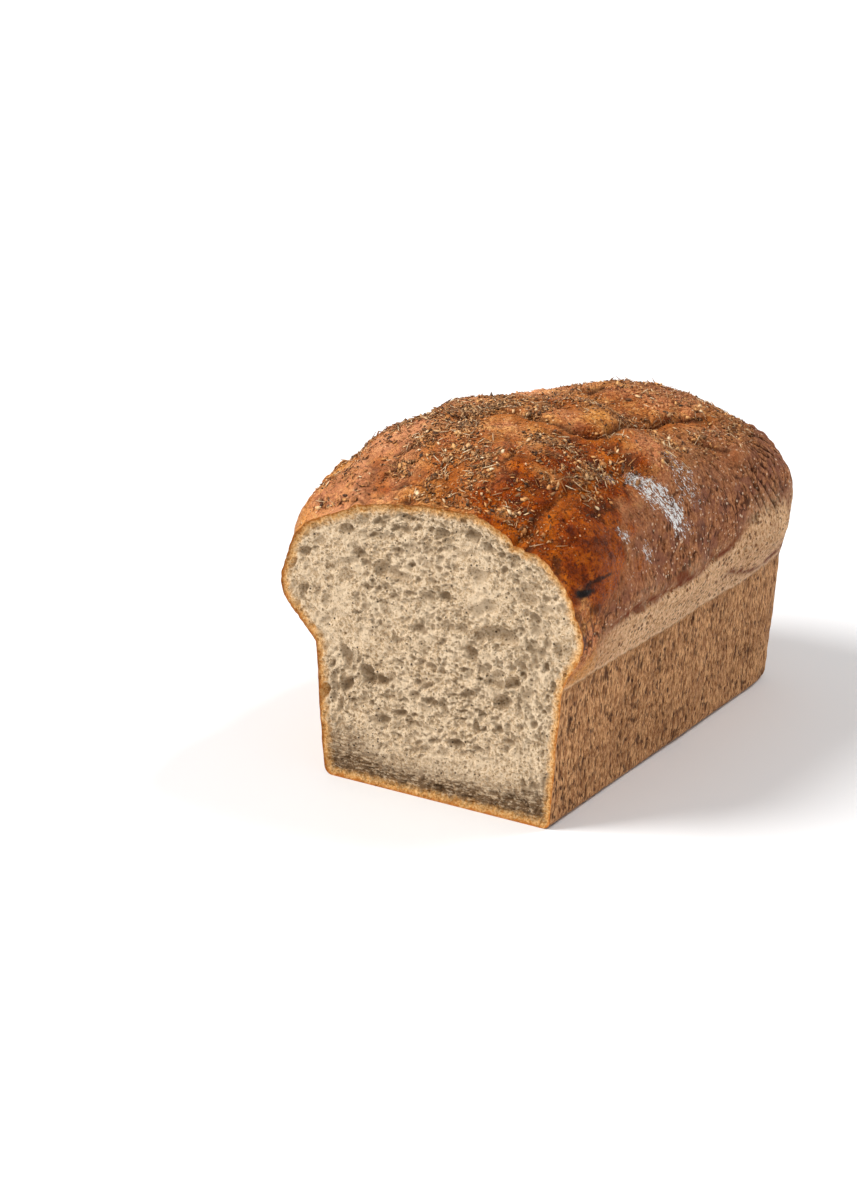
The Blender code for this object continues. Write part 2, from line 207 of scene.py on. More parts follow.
def neck_levels(t):
    """From the tin's rim to the widest part: the left side swells by a sine, the right side later."""
    swell = np.sin(t * math.pi / 2)
    x, y = rounded_plan(
        blend(swell, NECK_HALF_WIDTH, left_reach),
        blend((swell + swell**2) / 2, NECK_HALF_WIDTH, right_reach),
        blend(swell, NECK_LENGTH, DOME_LENGTH),
        blend(swell, WALL_SQUARENESS, DOME_SQUARENESS),
        0.0,
    )
    return np.stack(np.broadcast_arrays(x, y, blend(t, NECK_HEIGHT, BULGE_HEIGHT)), axis=-1)


def dome_levels(t):
    """A superellipse arch: a power of the cosine goes inwards, the same power of the sine upwards."""
    power = 2 / blend(growth(start_y), ROUNDNESS_AT_CUT, ROUNDNESS_AT_MIDDLE)
    inward = np.maximum(0.0, np.cos(t * math.pi / 2)) ** power
    upward = np.sin(t * math.pi / 2) ** power
    x, y = rounded_plan(
        (left_reach + RIDGE_SIDE) * inward,
        (right_reach - RIDGE_SIDE) * inward,
        DOME_LENGTH,
        blend(t, DOME_SQUARENESS, CROWN_SQUARENESS),
        RIDGE_SIDE,
    )
    y = start_y + (y - start_y) * inward
    z = blend(upward, BULGE_HEIGHT, top_height(start_y))
    return np.stack(np.broadcast_arrays(x, y, z), axis=-1)


SHOULDER_TOP = 0.42
dx, dy, start_y = plan_columns()
left_reach = blend(growth(start_y), LEFT_REACH_AT_CUT, LEFT_REACH_AT_MIDDLE)
right_reach = blend(growth(start_y), RIGHT_REACH_AT_CUT, RIGHT_REACH_AT_MIDDLE)
foot = BASE_EDGE_RADIUS * (1 - np.cos(np.linspace(0, math.pi / 2, EDGE_ROWS + 1)))
wall = np.linspace(BASE_EDGE_RADIUS, NECK_HEIGHT, WALL_ROWS + 1)[1:]
neck = np.linspace(0, 1, NECK_ROWS + 1)[1:]
arch = np.concatenate(
    [
        np.linspace(0, SHOULDER_TOP, SHOULDER_ROWS + 1)[1:],
        np.linspace(SHOULDER_TOP, 1, CROWN_ROWS + 1)[1:],
    ]
)
form = np.concatenate(
    [
        wall_levels(np.concatenate([foot, wall])[:, None]),
        neck_levels(neck[:, None]),
        dome_levels(arch[:, None]),
    ]
)
print("rows, columns of the form:", form.shape[:2])

# %% [markdown]
# A crust is uneven at every size, from lumps as wide as a hand down to grains of bran. Two kinds of
# chance make it here. A sum of sine waves in all directions gives broad, smooth lumps. Random
# numbers on a grid, blended between the grid's corners, give finer and sharper grain.


# %% Two kinds of unevenness
WAVE_COUNT = 20
WAVE_STRETCH = (0.75, 1.35)
TABLE = 32
TABLE_SHIFT = 8 * TABLE


def waves_at(points, length, seed):
    """A sum of sine waves of about this length in random directions, of about unit height."""
    draw = np.random.default_rng(seed)
    direction = draw.normal(size=(WAVE_COUNT, 3))
    direction /= np.linalg.norm(direction, axis=1, keepdims=True)
    phase = draw.uniform(0, 2 * math.pi, WAVE_COUNT)
    stretch = draw.uniform(*WAVE_STRETCH, WAVE_COUNT)
    angle = points @ (direction * stretch[:, None]).T * (2 * math.pi / length) + phase
    return np.sin(angle).sum(axis=-1) * math.sqrt(2 / WAVE_COUNT)


def grain_at(points, size, seed):
    """Random numbers from -1 to 1 on a grid of this size, eased from each corner to the next."""
    table = np.random.default_rng(seed).uniform(-1, 1, (TABLE, TABLE, TABLE))
    spot = points / np.asarray(size) + TABLE_SHIFT
    cell = np.floor(spot).astype(int)
    share = ease(spot - cell)
    total = 0.0
    for corner in np.ndindex(2, 2, 2):
        weight = np.prod(np.where(np.array(corner) == 1, share, 1 - share), axis=-1)
        index = (cell + np.array(corner)) % TABLE
        total = total + weight * table[index[..., 0], index[..., 1], index[..., 2]]
    return total


def layered(points, layers):
    """The sum of several patterns, each with its own height, size and seed."""
    return sum(height * pattern(points, *values) for height, pattern, *values in layers)


# %% [markdown]
# As the dough rose, its skin folded and tore. Each fold is a short route in plan, and the crust
# sinks beside it by a bell curve of the distance to that route, steep under the fold's lip and
# gentle on the other side. Where the dome sank as it cooled, the same curve is broad and shallow.
# On the right-hand side a seam runs along the dome where the skin stopped stretching above the
# paler neck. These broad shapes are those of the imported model.

# %% Folds, seam and lumps
LUMP_LENGTH = 0.060
LUMP_HEIGHT = 0.0015
BUBBLE_LENGTH = 0.026
BUBBLE_HEIGHT = 0.0006
WALL_SHARE = 0.25
RELIEF_SEED = 1
FLAT_BASE_HEIGHT = 0.006

CREASES = (
    # depth and half width, then the places in plan that the fold runs through
    (
        0.0044,
        0.0042,
        (
            (0.034, 0.156), (0.026, 0.140), (0.024, 0.118), (0.030, 0.094), (0.031, 0.080),
            (0.024, 0.0745), (0.010, 0.073), (-0.008, 0.074), (-0.024, 0.062),
        ),
    ),
    (0.0026, 0.0034, ((0.052, 0.144), (0.044, 0.132), (0.036, 0.128))),
    (0.0046, 0.0050, ((-0.040, 0.106), (-0.012, 0.101), (0.005, 0.088))),
    (0.0016, 0.0034, ((-0.010, 0.018), (-0.002, 0.010), (0.008, -0.004))),
    (0.0018, 0.0036, ((0.044, 0.040), (0.040, 0.024), (0.037, -0.002))),
    (0.0016, 0.0034, ((-0.058, 0.030), (-0.040, 0.018), (-0.034, -0.004))),
)
DENTS = (
    (0.0040, 0.0200, ((-0.062, 0.148), (-0.052, 0.172))),
    (0.0030, 0.0160, ((-0.078, 0.012), (-0.074, 0.030))),
    (0.0034, 0.0150, ((0.038, 0.196), (0.054, 0.204))),
)
SEAM_HEIGHT = 0.0790
SEAM_DEPTH = 0.0016
SEAM_HALF_WIDTH = 0.0022
SEAM_START = 0.040
SEAM_END = 0.120
LIP_SHARE = 0.34
SLOPE_SHARE = 0.85
FOLD_WANDER = ((0.0014, grain_at, 0.0080, 11), (0.0008, grain_at, 0.0034, 13))
FOLD_DEPTH_SHARE = 0.75
FOLD_DEPTH_CHANGE = ((0.6, grain_at, 0.0120, 12),)
FOLD_DEPTH_LIMITS = (0.3, 1.1)
FOLD_SHADE_SHARE = 0.6
FULL_DARK_DEPTH = 0.004


def away_from_route(x, y, route):
    """Distance in plan to a route of straight runs, below zero on the right of its direction."""
    nearest = np.full(x.shape, np.inf)
    for (ax, ay), (bx, by) in zip(route, route[1:]):
        run_x, run_y = bx - ax, by - ay
        share = ((x - ax) * run_x + (y - ay) * run_y) / (run_x**2 + run_y**2)
        share = np.clip(share, 0, 1)
        gap = np.hypot(x - ax - share * run_x, y - ay - share * run_y)
        side = np.where(run_x * (y - ay) < run_y * (x - ax), -1, 1)
        nearest = np.where(gap < np.abs(nearest), side * gap, nearest)
    return nearest


X, Y, Z = form[..., 0], form[..., 1], form[..., 2]
on_dome = ease((Z - NECK_HEIGHT) / (BULGE_HEIGHT - NECK_HEIGHT))
above_bulge = ease((Z - BULGE_HEIGHT) / (TOP_AT_CUT - BULGE_HEIGHT))
broad = LUMP_HEIGHT * waves_at(form, LUMP_LENGTH, RELIEF_SEED)
broad += BUBBLE_HEIGHT * waves_at(form, BUBBLE_LENGTH, RELIEF_SEED + 1)
broad *= blend(on_dome, WALL_SHARE, 1)
fold_shade = np.zeros_like(Z)
bare = np.zeros_like(Z)
for depth, half_width, route in CREASES:
    away = away_from_route(X, Y, route) + layered(form, FOLD_WANDER)
    reach = half_width * np.where(away < 0, LIP_SHARE, SLOPE_SHARE)
    strength = above_bulge * min(1, depth / FULL_DARK_DEPTH)
    depth = depth * np.clip(FOLD_DEPTH_SHARE + layered(form, FOLD_DEPTH_CHANGE), *FOLD_DEPTH_LIMITS)
    broad -= depth * above_bulge * bell(away / reach)
    # Painted shade: a darker band in and beside each fold, narrower than its dip.
    fold_shade = np.maximum(fold_shade, strength * bell(away / reach / FOLD_SHADE_SHARE))
    bare = np.maximum(bare, strength * bell((away - half_width) / half_width))
for depth, half_width, route in DENTS:
    broad -= depth * above_bulge * bell(away_from_route(X, Y, route) / half_width)
beside = (X > 0) & (Y > SEAM_START) & (Y < SEAM_END)
broad -= np.where(beside, SEAM_DEPTH * bell((Z - SEAM_HEIGHT) / SEAM_HALF_WIDTH), 0)
print("broad relief, mm:", round(broad.min() * 1000, 1), "to", round(broad.max() * 1000, 1))

# %% [markdown]
# The fine relief differs from place to place. The crown is crackled and flaky. Its right and back
# sides have wrinkles that run down, because the skin stretched over the side as it rose. The
# tin's walls have upright pores where gas slid up along the metal. A pore is the part of a small
# ball that reaches through the surface, with at most one ball in each cell of a shaken grid.


# %% Fine relief
PORE_PLACES = (0.2, 0.8)
PORE_RADII = (0.25, 0.62)


def pores_at(points, size, chance, seed):
    """0 outside, up to 1 at the middle of a pore: one less the square of the distance to a ball.

    The balls sit at random places in the cells of a grid, and a cell has one with this chance.
    """
    draw = np.random.default_rng(seed)
    jitter = draw.uniform(*PORE_PLACES, (TABLE, TABLE, TABLE, 3))
    reach = draw.uniform(*PORE_RADII, (TABLE, TABLE, TABLE))
    reach = np.where(draw.random((TABLE, TABLE, TABLE)) < chance, reach, 1e-6)
    spot = points / np.asarray(size) + TABLE_SHIFT
    cell = np.floor(spot).astype(int)
    deepest = np.zeros(points.shape[:-1])
    for step in np.ndindex(3, 3, 3):
        near = cell + np.array(step) - 1
        index = near % TABLE
        keys = (index[..., 0], index[..., 1], index[..., 2])
        gap = np.linalg.norm(spot - near - jitter[keys], axis=-1) / reach[keys]
        deepest = np.maximum(deepest, 1 - gap**2)
    return deepest


def cracks_at(points, size, width, seed):
    """1 on the lines where grain of this size crosses zero, easing to 0 at this height beside them."""
    return 1 - ease(np.abs(grain_at(points, size, seed)) / width)


def lumps_at(points, size, seed):
    """Rounded lumps between sharp creases: twice the grain's distance from zero, less a half."""
    return 2 * np.abs(grain_at(points, size, seed)) - 0.5


CROWN_RELIEF = (
    # height, pattern and size in metres, then the chance or the width that some have, and the seed
    (0.00075, grain_at, 0.0110, 20),
    (0.00052, lumps_at, 0.0062, 21),
    (0.00040, lumps_at, 0.0036, 22),
    (0.00030, lumps_at, 0.0020, 23),
)
CROWN_SPLITS = ((0.00090, cracks_at, (0.015, 0.013, 0.015), 0.08, 24),)
SIDE_RELIEF = (
    (0.00022, lumps_at, (0.0048, 0.0048, 0.0160), 25),
    (0.00028, lumps_at, (0.0021, 0.0021, 0.0040), 26),
    (0.00035, grain_at, 0.0080, 27),
    (-0.00070, pores_at, (0.0042, 0.0042, 0.0062), 0.28, 28),
)
SIDE_SPLITS = ((0.00060, cracks_at, (0.009, 0.009, 0.022), 0.07, 34),)
WALL_RELIEF = (
    (0.00016, lumps_at, (0.0024, 0.0024, 0.0130), 29),
    (0.00014, grain_at, (0.0011, 0.0011, 0.0030), 30),
    (-0.00060, pores_at, (0.0016, 0.0016, 0.0046), 0.40, 32),
)
WALL_CROWDS = (
    (0.00075, pores_at, (0.0023, 0.0023, 0.0085), 0.42, 31),
    (0.00050, pores_at, (0.0012, 0.0012, 0.0024), 0.50, 37),
)
CROWN_START = 0.092
CROWN_RISE = 0.024


def fine_relief(points):
    """Crackle on the crown, wrinkles down the sides, and upright pores in the walls, in metres.

    The splits and the crowded pores come only where a broader grain is high.
    """
    crown = rise(points[..., 2], CROWN_START, CROWN_RISE)
    split = rise(grain_at(points, 0.016, 33), 0.05, 0.3)
    side_split = rise(grain_at(points, 0.020, 35), 0, 0.3)
    crowd = rise(grain_at(points, (0.012, 0.012, 0.030), 36), -0.35, 0.6)
    crackle = layered(points, CROWN_RELIEF) - split * layered(points, CROWN_SPLITS)
    drawn = layered(points, SIDE_RELIEF) - side_split * layered(points, SIDE_SPLITS)
    tin = layered(points, WALL_RELIEF) - crowd * layered(points, WALL_CROWDS)
    return crown * crackle + on_dome * (1 - crown) * drawn + (1 - on_dome) * tin


# %% Stretch wrinkles of the back
WALL_TOP = EDGE_ROWS + WALL_ROWS
WRINKLE_SPACING = 0.0064
WRINKLE_DEPTH = 0.0015
WRINKLE_LEAN = 0.30
WRINKLE_SHARPNESS = 0.24
WRINKLE_WANDER = ((1.5, grain_at, (0.024, 0.024, 0.030), 38), (0.25, grain_at, 0.0060, 40))
WRINKLES_ON_LEFT = 0.40


def stretch_wrinkles():
    """Narrow grooves that run down the back of the dome at uneven steps along its outline.

    A groove is a bell curve of a sine of the length along that outline, which leans with height
    and is shaken by grain.
    """
    widest = form[WALL_TOP + NECK_ROWS, :, :2]
    steps = np.linalg.norm(np.diff(widest, axis=0), axis=1)
    around = np.concatenate([[0.0], np.cumsum(steps)])
    around = np.minimum(around, around[::-1]) + WRINKLE_LEAN * (Z - BULGE_HEIGHT)
    phase = around / WRINKLE_SPACING + layered(form, WRINKLE_WANDER)
    groove = bell(np.sin(math.pi * phase) / WRINKLE_SHARPNESS)
    groove = groove * blend(rise(X, 0.020, 0.020), WRINKLES_ON_LEFT, 1)
    band = rise(Y, 0.112, 0.030) * rise(Z, 0.084, 0.012) * (1 - rise(Z, 0.128, 0.012))
    return groove * band * rise(grain_at(form, (0.013, 0.013, 0.034), 39), -0.40, 0.6)


wrinkles = stretch_wrinkles()
fine = fine_relief(form) - WRINKLE_DEPTH * wrinkles
relief = (broad + fine) * ease(Z / FLAT_BASE_HEIGHT)
print("fine relief, mm:", round(fine.min() * 1000, 2), "to", round(fine.max() * 1000, 2))


# %% [markdown]
# The relief pushes each point along the surface's own direction outwards, which comes from the
# cross product of the differences between neighbouring rows and columns. Points on the cut stay
# in the cut plane. The ridge is shared by both sides, so each pair of its points is averaged. The
# highest lumps are eased down a little, which leaves room for the flakes that lie on them.


# %% The crust as one grid of points
FLAKE_ROOM = 0.0008
TOP_EASE = 0.0025


def outward_normals(points):
    """Unit normals: the cross product of the steps between rows and between columns."""
    normal = np.cross(np.gradient(points, axis=0), np.gradient(points, axis=1))
    return normal / np.maximum(np.linalg.norm(normal, axis=2, keepdims=True), 1e-12)


push = outward_normals(form) * relief[..., None]
push[:, [0, -1], 1] = 0.0
push[-1] = push[-2]
push[-1, :, :2] = 0.0
crust = form + push
crust[-1] = (crust[-1] + crust[-1, ::-1]) / 2
crust[-1, SIDE_COLUMNS:-SIDE_COLUMNS] = crust[-1, SIDE_COLUMNS]
inner_low = cad_low - SHIFT
inner_high = cad_high - SHIFT
over = np.maximum(0, crust[..., 2] - (inner_high[2] - FLAKE_ROOM - TOP_EASE))
crust[..., 2] += TOP_EASE * (1 - np.exp(-over / TOP_EASE)) - over
crust = np.clip(crust, inner_low, inner_high)
print("crust's size, mm:", np.round((crust.max((0, 1)) - crust.min((0, 1))) * 1000, 1))


# %% Mesh helpers
def make_piece(name, points, quads, triangles):
    """Puts arrays of points and faces into a new smooth mesh object at the origin."""
    mesh = bpy.data.meshes.new(name)
    corners = np.concatenate([quads.ravel(), triangles.ravel()]).astype(np.int32)
    starts = np.concatenate([np.arange(len(quads)) * 4, quads.size + np.arange(len(triangles)) * 3])
    mesh.vertices.add(len(points))
    mesh.vertices.foreach_set("co", (points + SHIFT).astype(np.float32).ravel())
    mesh.loops.add(len(corners))
    mesh.loops.foreach_set("vertex_index", corners)
    mesh.polygons.add(len(starts))
    mesh.polygons.foreach_set("loop_start", starts.astype(np.int32))
    mesh.update(calc_edges=True)
    mesh.shade_smooth()
    piece = bpy.data.objects.new(name, mesh)
    bpy.context.scene.collection.objects.link(piece)
    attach(piece, "root")
    print(name, "has", 2 * len(quads) + len(triangles), "triangles")
    return piece


def grid_index(points):
    """The numbers of a grid's points, row by row."""
    rows, columns = points.shape[:2]
    return np.arange(rows * columns).reshape(rows, columns)


def grid_piece(name, points, index, step=1):
    """A piece over a grid of points, with four corners a cell, or three where two are one point.

    The index numbers the points, and those after its highest number are left out. A step of -1
    turns the faces over.
    """
    cells = np.stack([index[:-1, :-1], index[:-1, 1:], index[1:, 1:], index[1:, :-1]], axis=-1)
    cells = cells.reshape(-1, 4)
    closing = cells[:, 2] == cells[:, 3]
    used = points.reshape(-1, 3)[: index.max() + 1]
    return make_piece(name, used, cells[~closing][:, ::step], cells[closing][:, :3])


def mark(piece, name, values):
    """Stores one number for each point, which the piece's material can read by this name."""
    layer = piece.data.attributes.new(name, "FLOAT", "POINT")
    values = np.asarray(values, np.float32).ravel()[: len(piece.data.vertices)]
    layer.data.foreach_set("value", values)


# %% [markdown]
# The bake is uneven too. These masks say where the crust is glazed and orange, where it is dull
# and purplish brown, where the neck stayed pale, where the seam is rust red, where a few spots
# scorched, and where flour was left, whose white streaks also stand for painted highlights. Each
# mask is a soft-edged region of the form, broken up by grain, so the colours wander into each
# other as they do on a real crust.


# %% Masks of the bake
GLAZED = (
    # strength, then centre and radii in mm
    (1.0, (42, 20, 108), (34, 50, 34)),
    (0.9, (36, 62, 128), (24, 24, 24)),
    (0.3, (-44, 16, 116), (20, 20, 18)),
    (0.6, (4, 24, 128), (40, 26, 20)),
    (0.5, (-50, 60, 128), (24, 26, 22)),
    (0.4, (10, 120, 140), (40, 30, 24)),
)
GLAZE_ON_BARE = 0.7
GLAZE_START = 0.080
GLAZE_CLIMB = 0.15
DULL_WANDER = 0.4
DULL_SHARE = 0.75


def patch(points, centre, radii, wander=0.35):
    """1 inside an ellipsoid at this centre, 0 outside, with an edge that grain moves about."""
    away = np.linalg.norm((points - np.array(centre) * MM) / (np.array(radii) * MM), axis=-1)
    return 1 - rise(away + wander * grain_at(points, 0.007, 41), 0.6, 0.6)


wander = grain_at(form, 0.018, 42)
speck = grain_at(form, 0.0035, 43)
glaze = sum(strength * patch(form, centre, radii) for strength, centre, radii in GLAZED)
glaze = np.clip(glaze + GLAZE_ON_BARE * bare, 0, 1)
glaze *= rise(Z - GLAZE_CLIMB * np.clip(Y - 0.010, 0, 0.120), GLAZE_START, 0.012, 0.35 * wander)
shake = DULL_WANDER * wander
dull = rise(X, 0.047, 0.014, shake) * rise(Y, 0.012, 0.014)
dull = np.maximum(dull, rise(Y, 0.150, 0.040, shake))
dull = np.maximum(dull, DULL_SHARE * rise(-X, 0.060, 0.014, shake))
dull = np.maximum(dull, DULL_SHARE * rise(X, 0.026, 0.016, shake) * rise(Y, 0.085, 0.030))
dull *= on_dome * (1 - 0.85 * glaze)
print("share of the form that is glazed:", round(float(glaze.mean()), 3))

# %% Masks of the neck and the seam
NECK_LINE_AT_CUT = 0.0660
NECK_LINE_AT_MIDDLE = 0.0795
NECK_LINE_CLIMB = 0.0140
NECK_EDGE_AT_CUT = 0.0110
NECK_EDGE_AT_MIDDLE = 0.0036
TIN_LINE = 0.0590
LIP_HALF_WIDTH = 0.0007
SEAM_RUST_HALF_WIDTH = 0.0019
LOW_RUST_HEIGHT = 0.0618
LOW_RUST_HALF_WIDTH = 0.0016
RUST_SPOTS = (
    # centre and radii in mm
    ((64, 56, 79), (8, 13, 2.2)),
    ((63, 78, 83), (8, 7, 2.4)),
    ((63, 112, 81), (8, 13, 2.6)),
)

to_back = rise(Y, 0.124, 0.026)
far_back = rise(Y, 0.165, 0.030)
neck_line = blend(ease(Y / 0.040), NECK_LINE_AT_CUT, NECK_LINE_AT_MIDDLE)
neck_line += NECK_LINE_CLIMB * to_back + 0.0012 * wander
neck_line += far_back * (0.0080 * grain_at(form, (0.030, 0.030, 0.200), 48) - 0.0040)
softness = blend(ease(Y / 0.080), NECK_EDGE_AT_CUT, NECK_EDGE_AT_MIDDLE)
softness += 0.0050 * to_back + 0.0060 * far_back
pale = ease((neck_line - 0.0010 - Z) / softness + 0.5 + 0.25 * speck)
pale = np.maximum(pale, 0.40 * ease((neck_line + 0.010 + 0.004 * wander - Z) / 0.012))
pale *= blend(rise(Y, 0.004, 0.050), 0.3, 1) * (1 - 0.25 * to_back * np.clip(0.5 + wander, 0, 1))
tin_line = TIN_LINE + 0.0008 * wander + 0.0006 * speck
tin_mark = 1 - rise(Z, tin_line, 0.0008, 0.5)
lip = bell((Z - tin_line - 0.0004) / LIP_HALF_WIDTH)
seam_line = neck_line + 0.0006 + 0.0006 * speck
rust = bell((Z - seam_line) / SEAM_RUST_HALF_WIDTH) * rise(Y, 0.020, 0.020) * (1 - 0.85 * to_back)
for centre, radii in RUST_SPOTS:
    rust = np.maximum(rust, 0.8 * patch(form, centre, radii, 0.9))
rust *= np.clip(0.70 + 1.3 * speck + 0.8 * wander, 0, 1)
low_line = LOW_RUST_HEIGHT + 0.0062 * (1 - rise(Y, 0.130, 0.040)) + 0.0007 * speck
low_rust = bell((Z - low_line) / LOW_RUST_HALF_WIDTH) * rise(Y, 0.128, 0.012)
rust = np.maximum(rust, low_rust * np.clip(0.85 + 1.2 * speck, 0, 1))

# %% Masks of scorched spots, rosy crust with painted light, and flour with painted highlights
FLOUR_HIGHLIGHT_STREAKS = (
    # strength, then first and last place and radius in mm
    (0.9, (52, 70, 126), (59, 77, 117), 5.0),
    (1.0, (58, 74, 120), (62, 81, 110), 8.0),
    (0.5, (62, 80, 109), (64, 85, 102), 6.0),
    (0.6, (45, 56, 130), (47, 58, 128), 3.5),
    (0.7, (60, 40, 113), (62, 42, 110), 3.0),
    (0.6, (64, 56, 103), (65, 58, 99), 3.5),
    (0.35, (52, 92, 122), (60, 98, 112), 7.0),
)


def streak(first, last, radius):
    """1 along the straight line between two places, 0 beyond a radius, with an edge that wanders."""
    first, run = np.array(first) * MM, (np.array(last) - np.array(first)) * MM
    share = np.clip((form - first) @ run / (run @ run), 0, 1)
    away = np.linalg.norm(form - first - share[..., None] * run, axis=-1) / (radius * MM)
    return 1 - rise(away + 0.35 * grain_at(form, 0.006, 47), 0.5, 0.6)


torn_place = form + 0.0012 * np.stack([grain_at(form, 0.0026, seed) for seed in (44, 45, 46)], axis=-1)
scorch = patch(torn_place, (62.5, 8, 98), (6, 5.6, 2.6), 0.3)
scorch = np.maximum(scorch, 0.8 * patch(torn_place, (63, 17, 100.5), (6, 9, 1.0), 0.3))
# Rosy crust on the dome's left: partly its own colour, partly painted light where the window at the left
# falls.
rosy_and_lit = rise(-X, 0.010, 0.034, 0.3 * wander) * (1 - rise(-X, 0.048, 0.018)) * on_dome
bruise = patch(form, (66, 2, 80), (4, 2.5, 3.5), 0.5)
bruise = np.clip(bruise + 0.7 * patch(form, (62, 98, 99), (5, 5, 4), 0.6), 0, 1)
flour = np.clip(sum(strength * streak(*line) for strength, *line in FLOUR_HIGHLIGHT_STREAKS), 0, 1)
plates = patch(form, (62, 6, 84), (16, 26, 17), 0.4) * (1 - glaze)

# %% [markdown]
# Three pieces share the grid: the walls that the tin held, the shoulder with the pale neck below
# it, and the crown. They meet on shared rows, so there is no gap between them. At the crown's
# ridge both sides use the same points, and behind the pole the last cells are triangles.

# %% Walls, shoulder and crown
SHOULDER_END = WALL_TOP + NECK_ROWS + SHOULDER_ROWS
MASKS = {
    "glaze": glaze,
    "dull": dull,
    "pale": pale,
    "tin": tin_mark,
    "lip": lip,
    "rust": rust,
    "bruise": bruise,
    "scorch": scorch,
    "flour": flour,
    "plates": plates,
    "rosy_and_lit": rosy_and_lit,
    # folds and stretch wrinkles painted darker, as the shade in their grooves
    "fold_shade": np.maximum(fold_shade, wrinkles),
    "bare": bare,
    "relief": fine * 1000,
}


def crust_band(name, first, last, index=None):
    """The cells between two rows of the crust as a piece, with the masks of its points."""
    band = crust[first : last + 1]
    piece = grid_piece(name, band, grid_index(band) if index is None else index)
    for mask, values in MASKS.items():
        mark(piece, mask, values[first : last + 1])
    return piece


tin_walls = crust_band("tin_walls", 0, WALL_TOP)
shoulder = crust_band("shoulder_crust", WALL_TOP, SHOULDER_END)

index = grid_index(crust[SHOULDER_END:])
index[-1, -SIDE_COLUMNS - 1 :] = index[-1, SIDE_COLUMNS::-1]
index[-1, SIDE_COLUMNS:-SIDE_COLUMNS] = index[-1, SIDE_COLUMNS]
crown = crust_band("crown_crust", SHOULDER_END, len(crust) - 1, index)

# %% [markdown]
# The loaf's underside was pressed flat against the tin's floor, so it is flat with shallow pits.
# Each of its rows joins a point of the left foot to the matching point of the right foot.

# %% Underside
BASE_CELLS = 200
BASE_PITS = ((0.0006, pores_at, 0.0060, 0.45, 51), (0.0003, pores_at, 0.0028, 0.50, 52))

half = form.shape[1] // 2
left_foot = crust[0, : half + 1]
right_foot = crust[0, ::-1][: half + 1]
share = np.linspace(0, 1, BASE_CELLS + 1)[:, None, None]
underside = blend(share, left_foot, right_foot)
inside = np.minimum(share, 1 - share)[..., 0] * 2
pits = layered(underside, BASE_PITS)
underside[..., 2] = pits * ease(inside / 0.05) * ease(underside[..., 1] / 0.004)
underside[:, -1] = underside[0, -1]
base = grid_piece("loaf_base", underside, grid_index(underside), step=-1)
mark(base, "relief", pits * 1000)

# %% [markdown]
# The crumb is a foam of gas bubbles in baked dough, sliced flat. Where the knife crossed a bubble,
# a hollow stays: the part of the bubble behind the cut. Bubbles near the crust are pressed along
# it, so they lie flat under the crown and stand upright beside the walls, and the lowest ones
# are squeezed into thin layers. The largest holes were measured one by one, and the smaller ones
# come from shaken grids, each finer than the one before.

# %% Cut face as a grid
CRUMB_CELLS = 316
left_edge = crust[:, 0]
right_edge = crust[:, -1]
across = np.linspace(0, 1, CRUMB_CELLS + 1)[None, :, None]
face = blend(across, left_edge[:, None], right_edge[:, None])
face[..., 1] = 0.0
outline = np.concatenate([left_edge, right_edge[::-1], blend(across[0], left_edge[0], right_edge[0])])


def distance_to_outline(points, rows_at_once=16):
    """Distance in the cut plane from each point to the nearest point of the loaf's outline."""
    nearest = np.empty(points.shape[:-1])
    for first in range(0, len(points), rows_at_once):
        part = points[first : first + rows_at_once, :, None, ::2] - outline[None, None, :, ::2]
        nearest[first : first + rows_at_once] = np.sqrt((part**2).sum(-1).min(-1))
    return nearest


rim = distance_to_outline(face)
print("deepest point of the crumb lies", round(rim.max() * 1000, 1), "mm from the crust")

